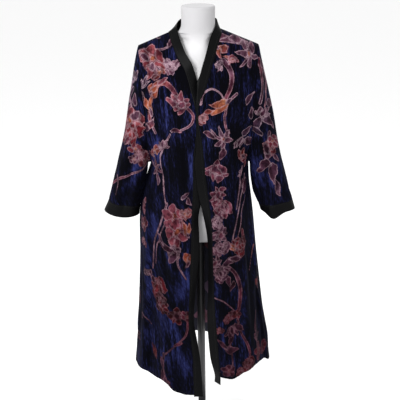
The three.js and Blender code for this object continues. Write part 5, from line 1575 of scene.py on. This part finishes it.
def turnedPiece(name, profile, material):
    angle = 2 * math.pi * np.arange(stand["sides"]) / stand["sides"]
    rings = np.stack([stack(radius * np.cos(angle), radius * np.sin(angle), z) for radius, z in profile])
    return closedRings(name, rings, material)


def polePiece():
    r, low, high, bevel = stand["poleRadius"], stand["poleFrom"], stand["poleTo"], stand["poleBevel"]
    profile = [(r - bevel, low), (r, low + bevel), (r, high - bevel), (r - bevel, high)]
    return turnedPiece("standPole", profile, darkMetal)


def basePiece():
    r, high = stand["baseRadius"], stand["baseHeight"]
    foot = [(r * 0.5, 0), (r - 1.2, 0), (r - 0.3, 0.3), (r, 1.2)]
    rim = [(r, high - 3), (r - 0.5, high - 1.4), (r - 1.5, high - 0.4), (r - 3, high)]
    return turnedPiece("standBase", foot + rim + [(r * 0.5, high), (stand["inner"], high)], darkMetal)


register(formPiece(), "form_torso")
register(polePiece(), "stand_pole")
register(basePiece(), "stand_base")
print("form and stand made")


# Floor, light and camera

studio = {
    "floor": (0.95, 0.95, 0.95), "floorSize": 30.0, "world": 1.0,
    "lights": (  # name, place, aim, size and watts
        ("key", (-1.9, -2.6, 2.9), (0, 0, 1.0), 1.6, 120), ("fill", (2.3, -2.2, 1.7), (0, 0, 0.9), 1.8, 12),
        ("rim", (0.6, 2.4, 2.6), (0, 0, 1.2), 1.4, 30),
    ),
    "camera": (0, -3.2, 2.027), "lens": 85.91, "sensor": 36, "tilt": 70.883, "roll": -0.6,
}


def areaLight(name, place, aim, size, power):
    data = bpy.data.lights.new(name, "AREA")
    data.shape, data.size, data.energy = "DISK", size, power
    lamp = bpy.data.objects.new(name, data)
    bpy.context.scene.collection.objects.link(lamp)
    lamp.location = place
    lamp.rotation_euler = (Vector(aim) - Vector(place)).to_track_quat("-Z", "Y").to_euler()


def buildStudio():
    scene = bpy.context.scene
    world = bpy.data.worlds.new("softRoom")
    scene.world = world
    world.use_nodes = True
    background = world.node_tree.nodes["Background"]
    background.inputs[0].default_value = (1, 1, 1, 1)
    background.inputs[1].default_value = studio["world"]
    look = Finish("paleFloor")
    paint = look.finish(Base_Color=(*studio["floor"], 1), Roughness=0.6, Specular_IOR_Level=0.2)
    half = studio["floorSize"] * 500
    corners = np.array([(-half, -half, 0), (half, -half, 0), (half, half, 0), (-half, half, 0)], dtype=float)
    makeMesh("floor", corners, [(0, 1, 2, 3)], [paint])
    for light in studio["lights"]:
        areaLight(*light)
    scene.view_settings.view_transform = "Standard"
    cameraData = bpy.data.cameras.new("camera")
    camera = bpy.data.objects.new("camera", cameraData)
    scene.collection.objects.link(camera)
    scene.camera = camera
    cameraData.sensor_width = studio["sensor"]
    cameraData.lens = studio["lens"]
    cameraData.dof.use_dof = False
    tilt = Matrix.Rotation(math.radians(studio["tilt"]), 4, "X")
    roll = Matrix.Rotation(math.radians(studio["roll"]), 4, "Z")
    camera.matrix_world = Matrix.Translation(studio["camera"]) @ tilt @ roll


buildStudio()
print("studio made")
